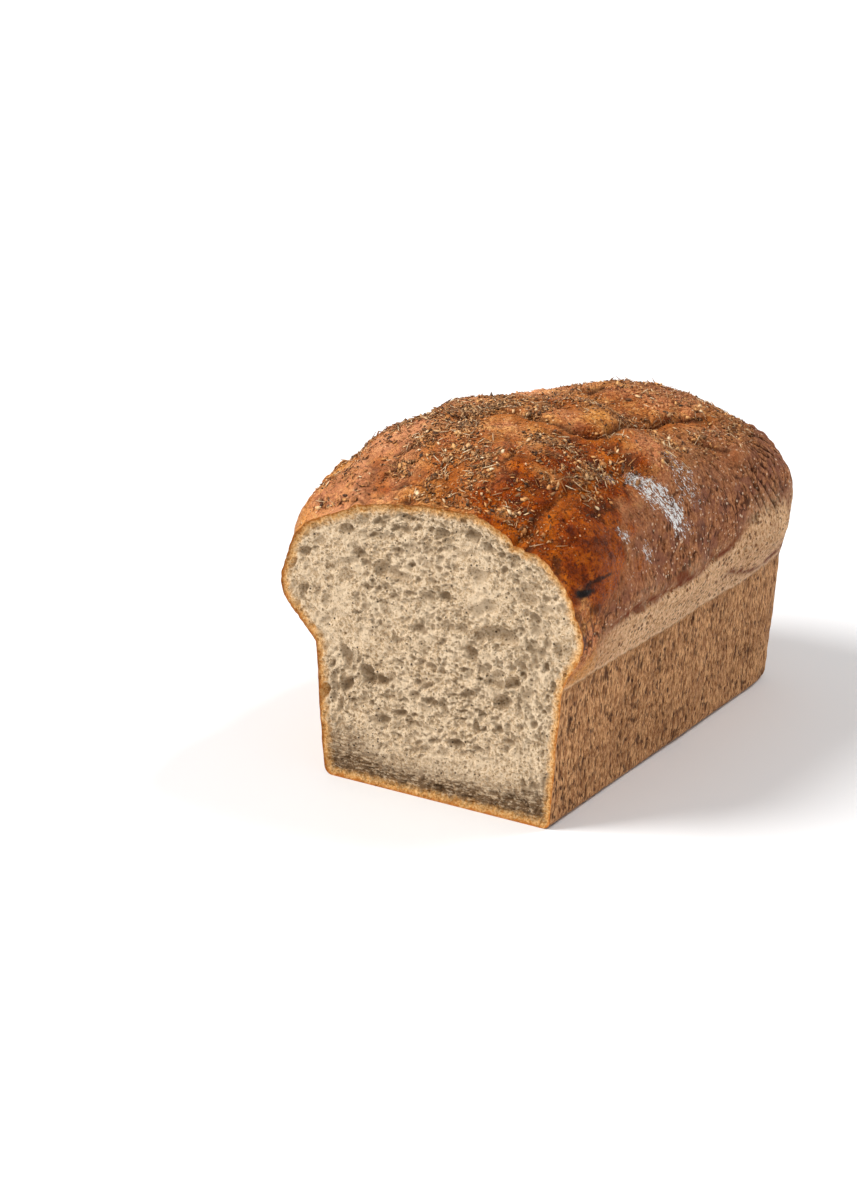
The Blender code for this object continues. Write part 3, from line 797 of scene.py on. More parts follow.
# %% Bubbles cut by the knife
BIG_HOLES = (
    # x, z, width, height in mm, tilt in degrees, depth as a share of the height
    (29.3, 76.5, 17.5, 7.1, -8, 0.50),
    (-21.0, 92.9, 17.8, 5.6, -8, 0.50),
    (16.6, 66.3, 7.9, 5.6, -55, 0.70),
    (-42.0, 53.6, 10.6, 4.2, -66, 0.70),
    (-31.6, 46.9, 10.2, 5.8, -62, 0.80),
    (-35.3, 97.9, 7.9, 4.4, -20, 0.65),
    (-41.3, 107.7, 7.9, 3.8, 12, 0.65),
    (-61.3, 94.3, 6.6, 3.8, 30, 0.70),
    (-67.6, 88.2, 6.4, 2.6, 62, 0.60),
    (-62.7, 77.8, 4.5, 3.9, 70, 0.60),
    (41.7, 93.5, 9.4, 5.0, -32, 0.40),
    (49.4, 90.5, 6.0, 4.6, -50, 0.30),
    (30.6, 48.4, 8.0, 7.2, 60, 0.55),
    (35.4, 57.6, 7.4, 6.6, 50, 0.55),
    (42.5, 54.0, 6.2, 5.0, 70, 0.35),
    (47.7, 73.1, 5.4, 3.9, 50, 0.55),
    (56.0, 75.0, 7.0, 3.0, -72, 0.50),
    (18.9, 98.9, 9.6, 4.4, -12, 0.40),
    (24.4, 86.5, 8.4, 5.0, -10, 0.32),
    (-12.3, 116.4, 10.0, 3.4, -4, 0.60),
    (8.5, 107.2, 6.1, 3.5, -16, 0.40),
    (-17.3, 111.4, 6.0, 2.8, -12, 0.60),
    (15.7, 49.4, 5.4, 3.4, -40, 0.65),
    (-3.3, 48.6, 6.1, 3.0, 14, 0.60),
    (3.2, 41.7, 5.6, 3.2, -58, 0.70),
    (-4.9, 38.6, 6.6, 4.2, -20, 0.25),
    (21.8, 41.1, 4.4, 3.2, -60, 0.75),
    (18.8, 35.8, 4.3, 3.4, -60, 0.80),
    (6.7, 74.3, 7.5, 3.8, 5, 0.25),
    (-7.4, 83.3, 8.6, 3.4, -4, 0.30),
    (-22.6, 75.8, 7.8, 3.4, -6, 0.30),
    (-6.9, 57.9, 3.2, 2.2, -20, 0.80),
    (-2.0, 57.1, 4.0, 2.4, -40, 0.80),
    (3.5, 56.4, 4.2, 3.0, -20, 0.55),
    (-44.9, 32.4, 6.4, 2.6, -84, 0.60),
    (-20.7, 47.3, 5.4, 4.6, 70, 0.30),
    (-28.1, 27.5, 6.5, 2.3, 4, 0.60),
    (-40.5, 93.5, 9.3, 3.4, 8, 0.35),
    (20.6, 59.9, 4.6, 4.1, -50, 0.55),
    (27.5, 59.4, 5.2, 4.4, 10, 0.35),
    (-11.5, 30.2, 4.6, 3.3, -50, 0.60),
    (-26.0, 106.5, 8.0, 3.6, -14, 0.35),
    (-50.0, 84.5, 5.0, 2.6, 20, 0.40),
    (47.0, 84.0, 8.0, 3.0, -40, 0.22),
    (-52.0, 67.0, 5.0, 2.6, 40, 0.40),
)
BUBBLE_PLACES = (0.15, 0.85)
BUBBLE_RADII = (0.20, 0.56)
BUBBLE_SINK = (-0.50, 0.45)
ARCH_START = 0.070
ARCH_TILT = 0.7
WALL_TILT = 1.25


def lean_at(points):
    """Tilt of the bubbles' long axis: along the arch above, upright beside the walls."""
    x, z = points[..., 0], points[..., 2]
    in_arch = rise(z, ARCH_START, 0.030)
    arch_tilt = ARCH_TILT * np.clip(-x / 0.070, -1, 1) * in_arch
    wall_tilt = WALL_TILT * np.sign(x) * rise(np.abs(x), 0.022, 0.030) * (1 - in_arch)
    return arch_tilt - wall_tilt + 0.25 * grain_at(points, 0.012, 61)


def shaken_holes(points, size, chance, slimness, seed):
    """Depth in metres, and shade from 0 up, of the hollows that a layer of bubbles leaves.

    Each cell of a grid holds one bubble at most, an ellipsoid. Its depth behind the cut is how
    far its centre lies behind the plane, plus the root of one less the square of the distance in
    the plane. The shade is that depth over the bubble's own half height.
    """
    draw = np.random.default_rng(seed)
    many = (TABLE * 4, TABLE * 4)
    jitter = draw.uniform(*BUBBLE_PLACES, (*many, 2))
    radius = size * draw.uniform(*BUBBLE_RADII, many)
    sunk = draw.uniform(*BUBBLE_SINK, many)
    there = draw.random(many) < chance
    flat = points[..., ::2] / size
    cell = np.floor(flat).astype(int)
    lean = lean_at(points)
    cosine, sine = np.cos(lean), np.sin(lean)
    deepest, shade = np.zeros((2, *points.shape[:-1]))
    for step in np.ndindex(3, 3):
        near = cell + np.array(step) - 1
        keys = (near[..., 0] % many[0], near[..., 1] % many[1])
        gap = (flat - near - jitter[keys]) * size
        along = gap[..., 0] * cosine + gap[..., 1] * sine
        over = gap[..., 1] * cosine - gap[..., 0] * sine
        spread = (along / radius[keys]) ** 2 + (over / (radius[keys] * slimness)) ** 2
        reach = np.sqrt(np.maximum(0, 1 - spread)) + sunk[keys]
        reach = np.where((spread < 1) & there[keys], np.maximum(0, reach), 0)
        deepest = np.maximum(deepest, reach * radius[keys] * slimness)
        shade = np.maximum(shade, reach)
    return deepest, shade


# %% Depth of the crumb
BUBBLE_LAYERS = (
    # size of a cell, chance that it holds a bubble, slimness, seed, depth and shade as shares
    (0.0078, 0.30, 0.62, 66, 0.85, 1.0),
    (0.0052, 0.50, 0.62, 67, 0.70, 1.0),
    (0.0036, 0.72, 0.64, 68, 0.70, 1.0),
    (0.0025, 0.85, 0.66, 69, 0.70, 0.8),
    (0.0017, 0.90, 0.72, 74, 0.70, 0.8),
)
LARGE_CELL = 0.005
BROAD_SHAKE = 0.0009
FINE_SHAKE = 0.00050
BALL_FLOOR = 0.25
QUIET_SHARE = 0.65
LOW_START = 0.005
LOW_RISE = 0.014
SPRING_BACK = 0.0003
TORN = ((0.00030, grain_at, 0.0026, 72), (0.00024, grain_at, 0.0011, 73))
TORN_MIDDLE = 0.0005

shaken = [
    grain_at(face, 0.0050, seed) * BROAD_SHAKE + grain_at(face, 0.0019, seed + 1) * FINE_SHAKE
    for seed in (62, 64)
]
moved = face + np.stack([shaken[0], np.zeros_like(rim), shaken[1]], axis=-1)
hollow, shade = np.zeros((2, *rim.shape))
for x, z, width, height, tilt, depth in BIG_HOLES:
    gap_x, gap_z = moved[..., 0] / MM - x, moved[..., 2] / MM - z
    cosine, sine = math.cos(math.radians(tilt)), math.sin(math.radians(tilt))
    along = (gap_x * cosine + gap_z * sine) / (width / 2)
    over = (gap_z * cosine - gap_x * sine) / (height / 2)
    spread = along**2 + over**2
    ball = blend(np.sqrt(np.maximum(0, 1 - spread)), BALL_FLOOR, 1) * (spread < 1)
    hollow = np.maximum(hollow, ball * depth * height * MM)
    shade = np.maximum(shade, ball * blend(min(depth, 0.8), 0.35, 0.80))
quiet = 1 - QUIET_SHARE * (hollow > 0)
low = 1 - rise(face[..., 2], LOW_START, LOW_RISE)
opened = np.clip(0.85 + 0.7 * grain_at(face, 0.015, 75), 0.45, 1)
for size, chance, slimness, seed, depth_share, shade_share in BUBBLE_LAYERS:
    share = (1 - low if size > LARGE_CELL else quiet * (1 - 0.5 * low)) * opened * depth_share
    layer_hollow, layer_shade = shaken_holes(moved, size, chance, slimness, seed)
    hollow = np.maximum(hollow, layer_hollow * share)
    shade = np.maximum(shade, layer_shade * share * shade_share)
beside_wall = rise(face[..., 0], 0.036, 0.008) * (1 - rise(face[..., 2], 0.045, 0.020))
SQUEEZED = (
    # how often the place is pressed along x, y and z, cell size, chance, seed, where, depth
    ((1, 1, 5), 0.0075, 0.85, 70, low, 0.0018),
    ((1, 1, 5), 0.0042, 0.85, 76, low, 0.0012),
    ((3.2, 1, 1), 0.0050, 0.70, 71, beside_wall, 0.0012),
)
for press, size, chance, seed, where, deep in SQUEEZED:
    dents = np.maximum(0, pores_at(moved * press, size, chance, seed)) * where
    hollow = np.maximum(hollow, dents * deep)
    shade = np.maximum(shade, dents * 1.1)
torn = layered(face, TORN) + TORN_MIDDLE
hollow = (hollow + SPRING_BACK * rise(rim, 0.0012, 0.003)) * rise(rim, 0.0006, 0.0016)
face[..., 1] = np.maximum(hollow + torn * ease(rim / 0.0007), 0)
deepest = round(face[..., 1].max() * 1000, 1)
print("deepest hole, mm:", deepest, "shaded:", round(float((shade > 0.2).mean()), 2))

# %% The crumb as a piece
index = grid_index(face)
index[-1] = index[-1, 0]
crumb = grid_piece("crumb_face", face, index)
mark(crumb, "rim", rim * 1000)
mark(crumb, "shade", shade)
uneven_top = 0.006 * grain_at(face, (0.020, 0.020, 0.010), 61)
mark(crumb, "low", 1 - rise(face[..., 2] + uneven_top, 0.002, 0.022))
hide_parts("loaf")

# %% [markdown]
# Bran flakes, bits of straw and burnt crumbs are baked onto the crown, thickest along its top and
# thinner towards the back and down the sides. Thousands are needed, so each kind is one small
# shape of a few faces. Array arithmetic makes each copy uneven, puts it on a random seat on the
# crown, turns it flat to the crust there, and joins them all into one mesh.


# %% Seats on the crown
BOX_MARGIN = 0.0001
FLAKE_REACH = (0.50, 1.20)
FLAKE_CURL = (-0.5, 0.5)
SLIVER_TAPER = 0.85
SLIVER_BEND = 2.0
SLIVER_TIP = 0.54


def seats_on_crown(count, density, seed):
    """Random places on the crown with the directions along, across and out of the crust there.

    A cell is drawn with a chance that grows with its area times the density at its corner, and
    the place in the cell is a random blend of its four corners.
    """
    draw = np.random.default_rng(seed)
    band = crust[SHOULDER_END:]
    a, b, c, d = band[:-1, :-1], band[:-1, 1:], band[1:, 1:], band[1:, :-1]
    normal = np.cross(d - b, c - a)
    area = np.linalg.norm(normal, axis=-1)
    weight = (area * density[SHOULDER_END:-1, :-1]).ravel()
    chosen = draw.choice(weight.size, count, p=weight / weight.sum())
    u, v = draw.random((2, count, 1))
    corners = [part.reshape(-1, 3)[chosen] for part in (a, b, c, d)]
    spot = blend(v, blend(u, corners[0], corners[1]), blend(u, corners[3], corners[2]))
    out = normal.reshape(-1, 3)[chosen]
    out /= np.linalg.norm(out, axis=-1, keepdims=True)
    heading = draw.normal(size=(count, 3))
    along_seat = np.cross(out, heading)
    along_seat /= np.linalg.norm(along_seat, axis=-1, keepdims=True)
    return spot, along_seat, np.cross(out, along_seat), out, draw


def scatter(name, template, faces, seats, sizes, lift, tilt):
    """Puts a shape on every seat: its x, y and z run along, across and out of the crust.

    Each copy is tilted by a random turn about the direction across it, and one that would reach
    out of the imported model's box is moved in.
    """
    spot, along_seat, across_seat, out, draw = seats
    turn = np.clip(tilt * draw.normal(size=(len(spot), 1)), -1, 1)
    along_seat, out = (
        along_seat * np.cos(turn) + out * np.sin(turn),
        out * np.cos(turn) - along_seat * np.sin(turn),
    )
    points = (
        spot[:, None]
        + out[:, None] * (template[..., 2:] * sizes[:, None, 2:] + lift)
        + along_seat[:, None] * template[..., :1] * sizes[:, None, :1]
        + across_seat[:, None] * template[..., 1:2] * sizes[:, None, 1:2]
    )
    points -= np.maximum(0, (points - inner_high).max(axis=1, keepdims=True))
    points += np.maximum(0, (inner_low + BOX_MARGIN - points).max(axis=1, keepdims=True))
    count, per = len(spot), template.shape[-2]
    triangles = (faces[None] + np.arange(count)[:, None, None] * per).reshape(-1, 3)
    piece = make_piece(name, points.reshape(-1, 3), np.zeros((0, 4), int), triangles)
    mark(piece, "tone", np.repeat(draw.random(count), per))
    return piece


def flake_template(count, sides, draw):
    """Flat flakes with ragged outlines: a ring of points at random distances and two low tips."""
    angle = np.arange(sides) * 2 * math.pi / sides
    reach = draw.uniform(*FLAKE_REACH, (count, sides))
    height = draw.uniform(*FLAKE_CURL, reach.shape)
    ring = np.stack([np.cos(angle) * reach, np.sin(angle) * reach, height], -1)
    tips = np.zeros((count, 2, 3))
    tips[:, 0, 2], tips[:, 1, 2] = 1, -1
    next_point = (np.arange(sides) + 1) % sides
    top = np.stack([np.arange(sides), next_point, np.full(sides, sides)], -1)
    under = np.stack([next_point, np.arange(sides), np.full(sides, sides + 1)], -1)
    return np.concatenate([ring, tips], axis=1) / 2, np.concatenate([top, under])


def sliver_template(count, sides, stations, draw):
    """Bent slivers: rings along a parabola, closed at both ends by a point."""
    t = np.linspace(-0.5, 0.5, stations)
    angle = np.arange(sides) * 2 * math.pi / sides
    taper = np.sqrt(1 - (2 * t * SLIVER_TAPER) ** 2)[:, None]
    run = np.broadcast_to(t[:, None], (stations, sides))
    ring = np.stack([run, np.cos(angle) * taper, np.sin(angle) * taper], -1)
    ring = np.repeat(ring.reshape(1, -1, 3), count, axis=0)
    bend = draw.normal(0, SLIVER_BEND, (count, 1)) * (ring[..., 0] ** 2 - 0.08)
    ring[..., 1] += bend
    ends = np.zeros((count, 2, 3))
    ends[:, 0, 0], ends[:, 1, 0] = -SLIVER_TIP, SLIVER_TIP
    ends[:, :, 1] = bend[:, [0, -1]]
    ring[..., 1:] /= 2
    ends[..., 1:] /= 2
    grid = np.arange(stations * sides).reshape(stations, sides)
    turned = np.roll(grid, -1, axis=1)
    a, b, c, d = grid[:-1], turned[:-1], turned[1:], grid[1:]
    body = np.concatenate([np.stack([a, b, c], -1), np.stack([a, c, d], -1)]).reshape(-1, 3)
    start = np.stack([turned[0], grid[0], np.full(sides, stations * sides)], -1)
    stop = np.stack([grid[-1], turned[-1], np.full(sides, stations * sides + 1)], -1)
    return np.concatenate([ring, ends], axis=1), np.concatenate([body, start, stop])


# %% Where the toppings lie
height_share = rise(Z, 0.088, 0.026, 0.25 * wander)
back_share = 1 - 0.65 * rise(Y, 0.075, 0.070)
right_share = 1 - 0.90 * rise(X + 0.10 * np.maximum(0, 0.045 - Y), 0.046, 0.010)
left_share = 1 - 0.55 * rise(-X, 0.030, 0.030)
clumps = np.clip(0.60 + 1.2 * grain_at(form, 0.009, 81) + 0.7 * grain_at(form, 0.028, 82), 0.04, 2.2)
edge_share = rise(Y, 0.0012, 0.0015)
strewn = height_share * back_share * right_share * clumps * edge_share
strewn = strewn * (1 - 0.35 * bare) * (1 - 0.65 * glaze) * left_share + 1e-9
loose = strewn + 0.22 * rise(Z, 0.070, 0.020) * edge_share
flour_highlight_density = flour**1.5 * rise(Z, 0.090, 0.010) + 1e-9


# %% Bran, straw, burnt bits, crumbs and flour
FLAKE_SIDES = {"flake": 6, "grain": 4}
SLIVER_SIDES = 3
SLIVER_STATIONS = 4
MOSTLY_SHORT = 2.2
THICKNESS_RANGE = (0.6, 1.4)
TOPPINGS = (
    # name, count, shape, density, seed, shortest and longest, range of width over length,
    # thickness, lift above the crust, tilt
    ("bran_flakes", 6000, "flake", strewn, 83, (0.0008, 0.0038), (0.25, 0.75), 0.00028, 0.00038, 0.45),
    ("bran_chips", 700, "flake", strewn * clumps**2, 88, (0.0020, 0.0046), (0.25, 0.6), 0.0003, 0.0006, 0.5),
    ("straw_slivers", 1800, "sliver", strewn, 84, (0.0012, 0.0062), (0.1, 0.2), 0.00036, 0.00045, 0.2),
    ("burnt_flecks", 1600, "flake", strewn, 85, (0.0008, 0.0030), (0.3, 0.7), 0.00035, 0.0003, 0.45),
    ("crust_crumbs", 12000, "grain", loose, 86, (0.0004, 0.0014), (0.5, 1), 0.0006, 0.0001, 0.35),
    # white grains over the flour patch, which also stand for highlights there
    ("flour_grains", 900, "grain", flour_highlight_density, 87, (0.0002, 0.0006), (0.4, 1), 0.0003, 0.0001, 0.35),
)


def topping(name, count, shape, density, seed, lengths, slim, thick, lift, tilt):
    """Scatters one kind of topping, whose lengths are mostly near the shortest."""
    seats = seats_on_crown(count, density, seed)
    draw = seats[-1]
    length = blend(draw.random(count) ** MOSTLY_SHORT, *lengths)
    width = length * draw.uniform(*slim, count)
    height = thick * draw.uniform(*THICKNESS_RANGE, count)
    if shape == "sliver":
        width = height
        template, faces = sliver_template(count, SLIVER_SIDES, SLIVER_STATIONS, draw)
    else:
        template, faces = flake_template(count, FLAKE_SIDES[shape], draw)
    return scatter(name, template, faces, seats, np.stack([length, width, height], -1), lift, tilt)


toppings = {name: topping(name, *values) for name, *values in TOPPINGS}

# %% [markdown]
# The finishes are built from nodes on Object coordinates, which are the loaf's own metres. A few
# small helpers keep the recipes short: one makes a material, others add noise, a colour ramp, a
# mix or a bump, and each returns the socket that the next step reads.


# %% Helpers for finishes
class Recipe:
    """A material under construction, with short calls for the nodes that the finishes share."""

    def __init__(self, name, **fixed):
        self.material = bpy.data.materials.new(name)
        self.material.use_nodes = True
        self.tree = self.material.node_tree
        self.place = self.node("TexCoord", "Object")
        self.finish(**fixed)

    def put(self, socket, value):
        """Links a socket, or sets it where the value is a plain number, direction or colour."""
        if isinstance(value, bpy.types.NodeSocket):
            self.tree.links.new(value, socket)
        elif socket.type == "RGBA":
            socket.default_value = (*value, 1)
        else:
            socket.default_value = value

    def node(self, kind, output, values=(), **settings):
        """Adds a node with these settings and input values, and gives one of its outputs."""
        node = self.tree.nodes.new("ShaderNode" + kind)
        for setting, value in settings.items():
            setattr(node, setting, value)
        for socket, value in dict(values).items():
            self.put(node.inputs[socket], value)
        return node.outputs[output]

    def attribute(self, name):
        """A number that was stored on the mesh's points under this name."""
        return self.node("Attribute", "Fac", attribute_name=name)

    def stretched(self, scale):
        """The place times this scale, so a scale below one draws a pattern out."""
        return self.node("Mapping", "Vector", {"Vector": self.place, "Scale": scale})

    def turned(self, direction, length):
        """The place turned so that its z runs along a direction, and drawn out that much along it."""
        turn = Vector(direction).to_track_quat("Z", "Y").to_euler()
        values = {"Vector": self.place, "Rotation": turn, "Scale": (1, 1, length)}
        return self.node("Mapping", "Vector", values, vector_type="TEXTURE")

    def noise(self, size, detail=3.0, rough=0.55, vector=None, output="Fac"):
        """Smooth noise of this size, mostly between 0.3 and 0.7."""
        vector = self.place if vector is None else vector
        values = {"Vector": vector, "Scale": 1 / size, "Detail": detail, "Roughness": rough}
        return self.node("TexNoise", output, values)

    def shaken(self, size, amount, vector=None):
        """The place moved by noise of this size, so that a pattern's lines run unevenly."""
        vector = self.place if vector is None else vector
        noise = self.noise(size, 2.0, 0.5, vector, "Color")
        values = {0: noise, 1: (amount, amount, amount), 2: vector}
        return self.node("VectorMath", 0, values, operation="MULTIPLY_ADD")

    def lines(self, size, vector, edge=(0.075, 0.025)):
        """Lines between cells of this size: the distance to a cell's border, between two values."""
        values = {"Vector": vector, "Scale": 1 / size}
        border = self.node("TexVoronoi", "Distance", values, feature="DISTANCE_TO_EDGE")
        return self.window(border, *edge)

    def spots(self, size, smallest, largest, edge, vector=None):
        """Round spots, each of its own radius, whose edge lies between two values.

        The value is one less the distance over the radius.
        """
        vector = self.place if vector is None else vector
        distance = self.node("TexVoronoi", "Distance", {"Vector": vector, "Scale": 1 / size})
        pick = self.node("SeparateColor", "Red", {"Color": distance.node.outputs["Color"]})
        radius = self.maths("ADD", self.times(pick, largest - smallest), smallest)
        share = self.maths("DIVIDE", distance, self.maths("MAXIMUM", radius, 0.001))
        return self.window(self.maths("SUBTRACT", 1.0, share, clamp=True), *edge)

    def ramp(self, value, *stops):
        """Colours at places from 0 to 1, with straight blends between them."""
        node = self.node("ValToRGB", "Color", {"Fac": value}).node
        elements = node.color_ramp.elements
        while len(elements) < len(stops):
            elements.new(0.5)
        for element, (spot, colour) in zip(elements, stops):
            element.position = spot
            element.color = (*colour, 1)
        return node.outputs["Color"]

    def window(self, value, low, high):
        """0 below low, 1 above high, straight between them; the other way round if low is higher."""
        return self.node("MapRange", "Result", {"Value": value, "From Min": low, "From Max": high})

    def maths(self, operation, first, second, clamp=False):
        """A sum, a difference and so on of two values."""
        return self.node("Math", 0, {0: first, 1: second}, operation=operation, use_clamp=clamp)

    def times(self, first, second):
        """The product of two values."""
        return self.maths("MULTIPLY", first, second)

    def over(self, colour, paint, share, strength=None):
        """The colour under this share of a paint, which a strength can weaken."""
        share = share if strength is None else self.times(share, strength)
        return self.node("Mix", 2, {"Factor": share, 6: colour, 7: paint}, data_type="RGBA")

    def bump(self, height, distance, strength=1.0, normal=None):
        """A normal that leans as if the surface rose by this distance where the height is 1."""
        values = {"Height": height, "Distance": distance, "Strength": strength}
        return self.node("Bump", "Normal", values if normal is None else {**values, "Normal": normal})

    def finish(self, **values):
        """Gives the shader's inputs their values or links, and returns the material."""
        for socket, value in values.items():
            self.put(self.tree.nodes["Principled BSDF"].inputs[socket.replace("_", " ")], value)
        return self.material


# %% [markdown]
# The walls touched the tin, so they are matt and tan, with upright darker flecks and open pores.
# The same colours are needed twice: on the walls, and on the dome's piece just above the tin's
# rim, where the wall runs on up to an uneven line.

# %% Colours of the walls
WALL_TAN = (0.460, 0.208, 0.078)
WALL_LIGHT = (0.860, 0.475, 0.215)
WALL_BROWN = (0.250, 0.092, 0.026)
WALL_PORE_SHADE = (0.075, 0.024, 0.007)
UPRIGHT = 0.36
ROUND = 1


def wall_colour(made, upright):
    """Tan crust with darker flecks, and pores and slits painted near black as their shade, drawn
    out upwards by this share of the height.

    The grain and the holes are given too, for the bump.
    """
    along = made.stretched((1, 1, upright))
    grain = made.noise(0.0011, 4, 0.76, along)
    tan = made.ramp(grain, (0.37, WALL_BROWN), (0.46, WALL_TAN), (0.62, WALL_LIGHT))
    tan = made.over(tan, WALL_BROWN, made.window(made.noise(0.013, 3, 0.5), 0.44, 0.66), 0.35)
    tan = made.over(tan, WALL_BROWN, made.window(made.noise(0.0026, 4, 0.70, along), 0.555, 0.610), 0.72)
    # Pores and slits, painted near black as the shade inside them, and bumped too.
    holes = made.spots(0.0012, -0.10, 0.50, (0.05, 0.35), made.shaken(0.0013, 0.0010, along))
    slits = made.noise(0.0021, 3, 0.60, made.stretched((1, 1, upright * 0.6)))
    holes = made.maths("MAXIMUM", holes, made.window(slits, 0.640, 0.680))
    return made.over(tan, WALL_PORE_SHADE, holes, 0.92), grain, holes


# %% [markdown]
# The dome's crust is brown with a warm orange glaze where it was brushed and baked hardest. The
# masks choose between the named colours, noise breaks each one up, and fine grain is raised with
# bump because it is far smaller than the mesh's cells.

# %% Crown and glaze
CROWN_PINK = (0.640, 0.225, 0.090)
CROWN_BROWN = (0.560, 0.185, 0.042)
CROWN_GOLD = (0.740, 0.290, 0.055)
ROSY_LIT_CRUST = (0.800, 0.345, 0.170)
CROWN_TAN = (0.880, 0.430, 0.140)
CROWN_LIGHT = (0.980, 0.620, 0.260)
CROWN_DARK = (0.160, 0.042, 0.009)
BARE_ORANGE = (0.550, 0.180, 0.030)
GLAZE_ORANGE = (0.320, 0.052, 0.002)
GLAZE_LIGHT = (0.600, 0.140, 0.006)
GLAZE_DEEP = (0.085, 0.012, 0.002)
PAINTED_GLINT = (0.980, 0.720, 0.440)

dome = Recipe("dome_crust", Roughness=0.45, Specular_IOR_Level=0.08)
patches = dome.noise(0.024, 3, 0.5)
mottle = dome.noise(0.0080, 5, 0.66)
fleck = dome.noise(0.0013, 4, 0.78)
dark_fleck = dome.window(fleck, 0.52, 0.58)
light_mottle = dome.window(mottle, 0.50, 0.64)
glaze_mask, flour_highlight_mask = dome.attribute("glaze"), dome.attribute("flour")
colour = dome.ramp(patches, (0.38, CROWN_PINK), (0.50, CROWN_BROWN), (0.62, CROWN_GOLD))
for paint, share, strength in (
    # rosy crust, painted lighter as the window light on the dome's left
    (ROSY_LIT_CRUST, dome.attribute("rosy_and_lit"), 0.75),
    (CROWN_TAN, light_mottle, 0.80),
    (CROWN_DARK, dome.window(mottle, 0.45, 0.34), 0.65),
    (CROWN_DARK, dark_fleck, 0.70),
    (ROSY_LIT_CRUST, dome.attribute("rosy_and_lit"), 0.50),
    (CROWN_LIGHT, dome.window(fleck, 0.45, 0.35), 0.70),
):
    colour = dome.over(colour, paint, share, strength)
glaze_colour = dome.ramp(mottle, (0.34, GLAZE_DEEP), (0.47, GLAZE_ORANGE), (0.66, GLAZE_LIGHT))
glaze_colour = dome.over(glaze_colour, GLAZE_DEEP, dark_fleck, 0.90)
colour = dome.over(colour, glaze_colour, glaze_mask)
colour = dome.over(colour, BARE_ORANGE, dome.attribute("bare"), 0.4)
# Painted highlights: light dots laid into the colour as glints, fewer on the glaze.
painted_glints = dome.spots(0.0021, -0.30, 0.24, (0.05, 0.35), dome.shaken(0.0006, 0.0006))
colour = dome.over(colour, PAINTED_GLINT, dome.times(painted_glints, dome.window(glaze_mask, 1.4, 0.0)), 0.85)

# %% Dull sides, with cracks and pits painted dark as shade, and dots painted as highlights
DULL_BROWN = (0.330, 0.118, 0.046)
DULL_LIGHT = (0.620, 0.275, 0.125)
DULL_DARK = (0.110, 0.030, 0.008)
DULL_PURPLE = (0.270, 0.100, 0.060)
CRACK_SHADE = (0.060, 0.018, 0.007)
HIGHLIGHT_DOT = (0.860, 0.610, 0.420)

down = dome.stretched((1, 1, 0.55))
skin = dome.noise(0.0014, 4, 0.76, down)
dull_colour = dome.ramp(skin, (0.36, DULL_DARK), (0.46, DULL_BROWN), (0.62, DULL_LIGHT))
dull_colour = dome.over(dull_colour, DULL_PURPLE, dome.window(mottle, 0.46, 0.56), 0.75)
# Cracks, plate edges and pits are painted near black, as the shade in them.
cracked = dome.window(dome.noise(0.011, 3, 0.6), 0.50, 0.56)
dull_cracks = dome.times(dome.lines(0.0070, dome.shaken(0.0040, 0.0060, down)), cracked)
plate_edges = dome.lines(0.0085, dome.shaken(0.0050, 0.0050))
plate_edges = dome.times(plate_edges, dome.attribute("plates"))
pits = dome.spots(0.0026, -0.20, 0.52, (0.05, 0.35), dome.shaken(0.0012, 0.0008, down))
dull_cracks = dome.maths("MAXIMUM", dome.maths("MAXIMUM", dull_cracks, plate_edges), pits)
dull_colour = dome.over(dull_colour, CRACK_SHADE, dull_cracks, 0.85)
# Light dots painted as highlights on the dull crust.
highlight_dots = dome.spots(0.0018, -0.16, 0.40, (0.05, 0.30), dome.shaken(0.0007, 0.0006))
dull_colour = dome.over(dull_colour, HIGHLIGHT_DOT, highlight_dots, 0.85)
colour = dome.over(colour, dull_colour, dome.attribute("dull"))
colour = dome.over(colour, CRACK_SHADE, plate_edges, 0.8)

# %% Pale neck, rust-red seam, dark folds and scorched spots
NECK_PALE = (0.750, 0.425, 0.210)
NECK_LIGHT = (1.000, 0.700, 0.440)
NECK_BROWN = (0.330, 0.140, 0.050)
NECK_TAN = (0.400, 0.190, 0.090)
NECK_SPOT = (0.140, 0.046, 0.016)
RUST_RED = (0.190, 0.040, 0.013)
BRUISE_GREY = (0.090, 0.040, 0.034)
RECESS_SHADE = (0.055, 0.017, 0.006)
FOLD_SHADE = (0.050, 0.014, 0.005)
SCORCH_BLACK = (0.014, 0.010, 0.009)

pale_grain = dome.noise(0.0011, 4, 0.74, dome.stretched((1, 1, 0.6)))
pale_colour = dome.ramp(pale_grain, (0.37, NECK_BROWN), (0.46, NECK_PALE), (0.62, NECK_LIGHT))
pale_colour = dome.over(pale_colour, NECK_TAN, light_mottle, 0.35)
pale_spots = dome.spots(0.0021, -0.14, 0.55, (0.05, 0.25), dome.shaken(0.0016, 0.0009))
pale_colour = dome.over(pale_colour, NECK_SPOT, pale_spots, 0.80)
wall_tan = wall_colour(dome, UPRIGHT)[0]
for paint, share, strength in (
    (pale_colour, dome.attribute("pale"), None),
    (wall_tan, dome.attribute("tin"), None),
    (NECK_LIGHT, dome.attribute("lip"), 0.45),
    (RUST_RED, dome.attribute("rust"), None),
    (BRUISE_GREY, dome.attribute("bruise"), 0.55),
    # painted shade where the fine relief sinks in
    (RECESS_SHADE, dome.window(dome.attribute("relief"), -0.25, -0.95), 0.75),
    # painted shade in the folds and the wrinkles
    (FOLD_SHADE, dome.attribute("fold_shade"), 0.80),
    (SCORCH_BLACK, dome.attribute("scorch"), None),
):
    colour = dome.over(colour, paint, share, strength)

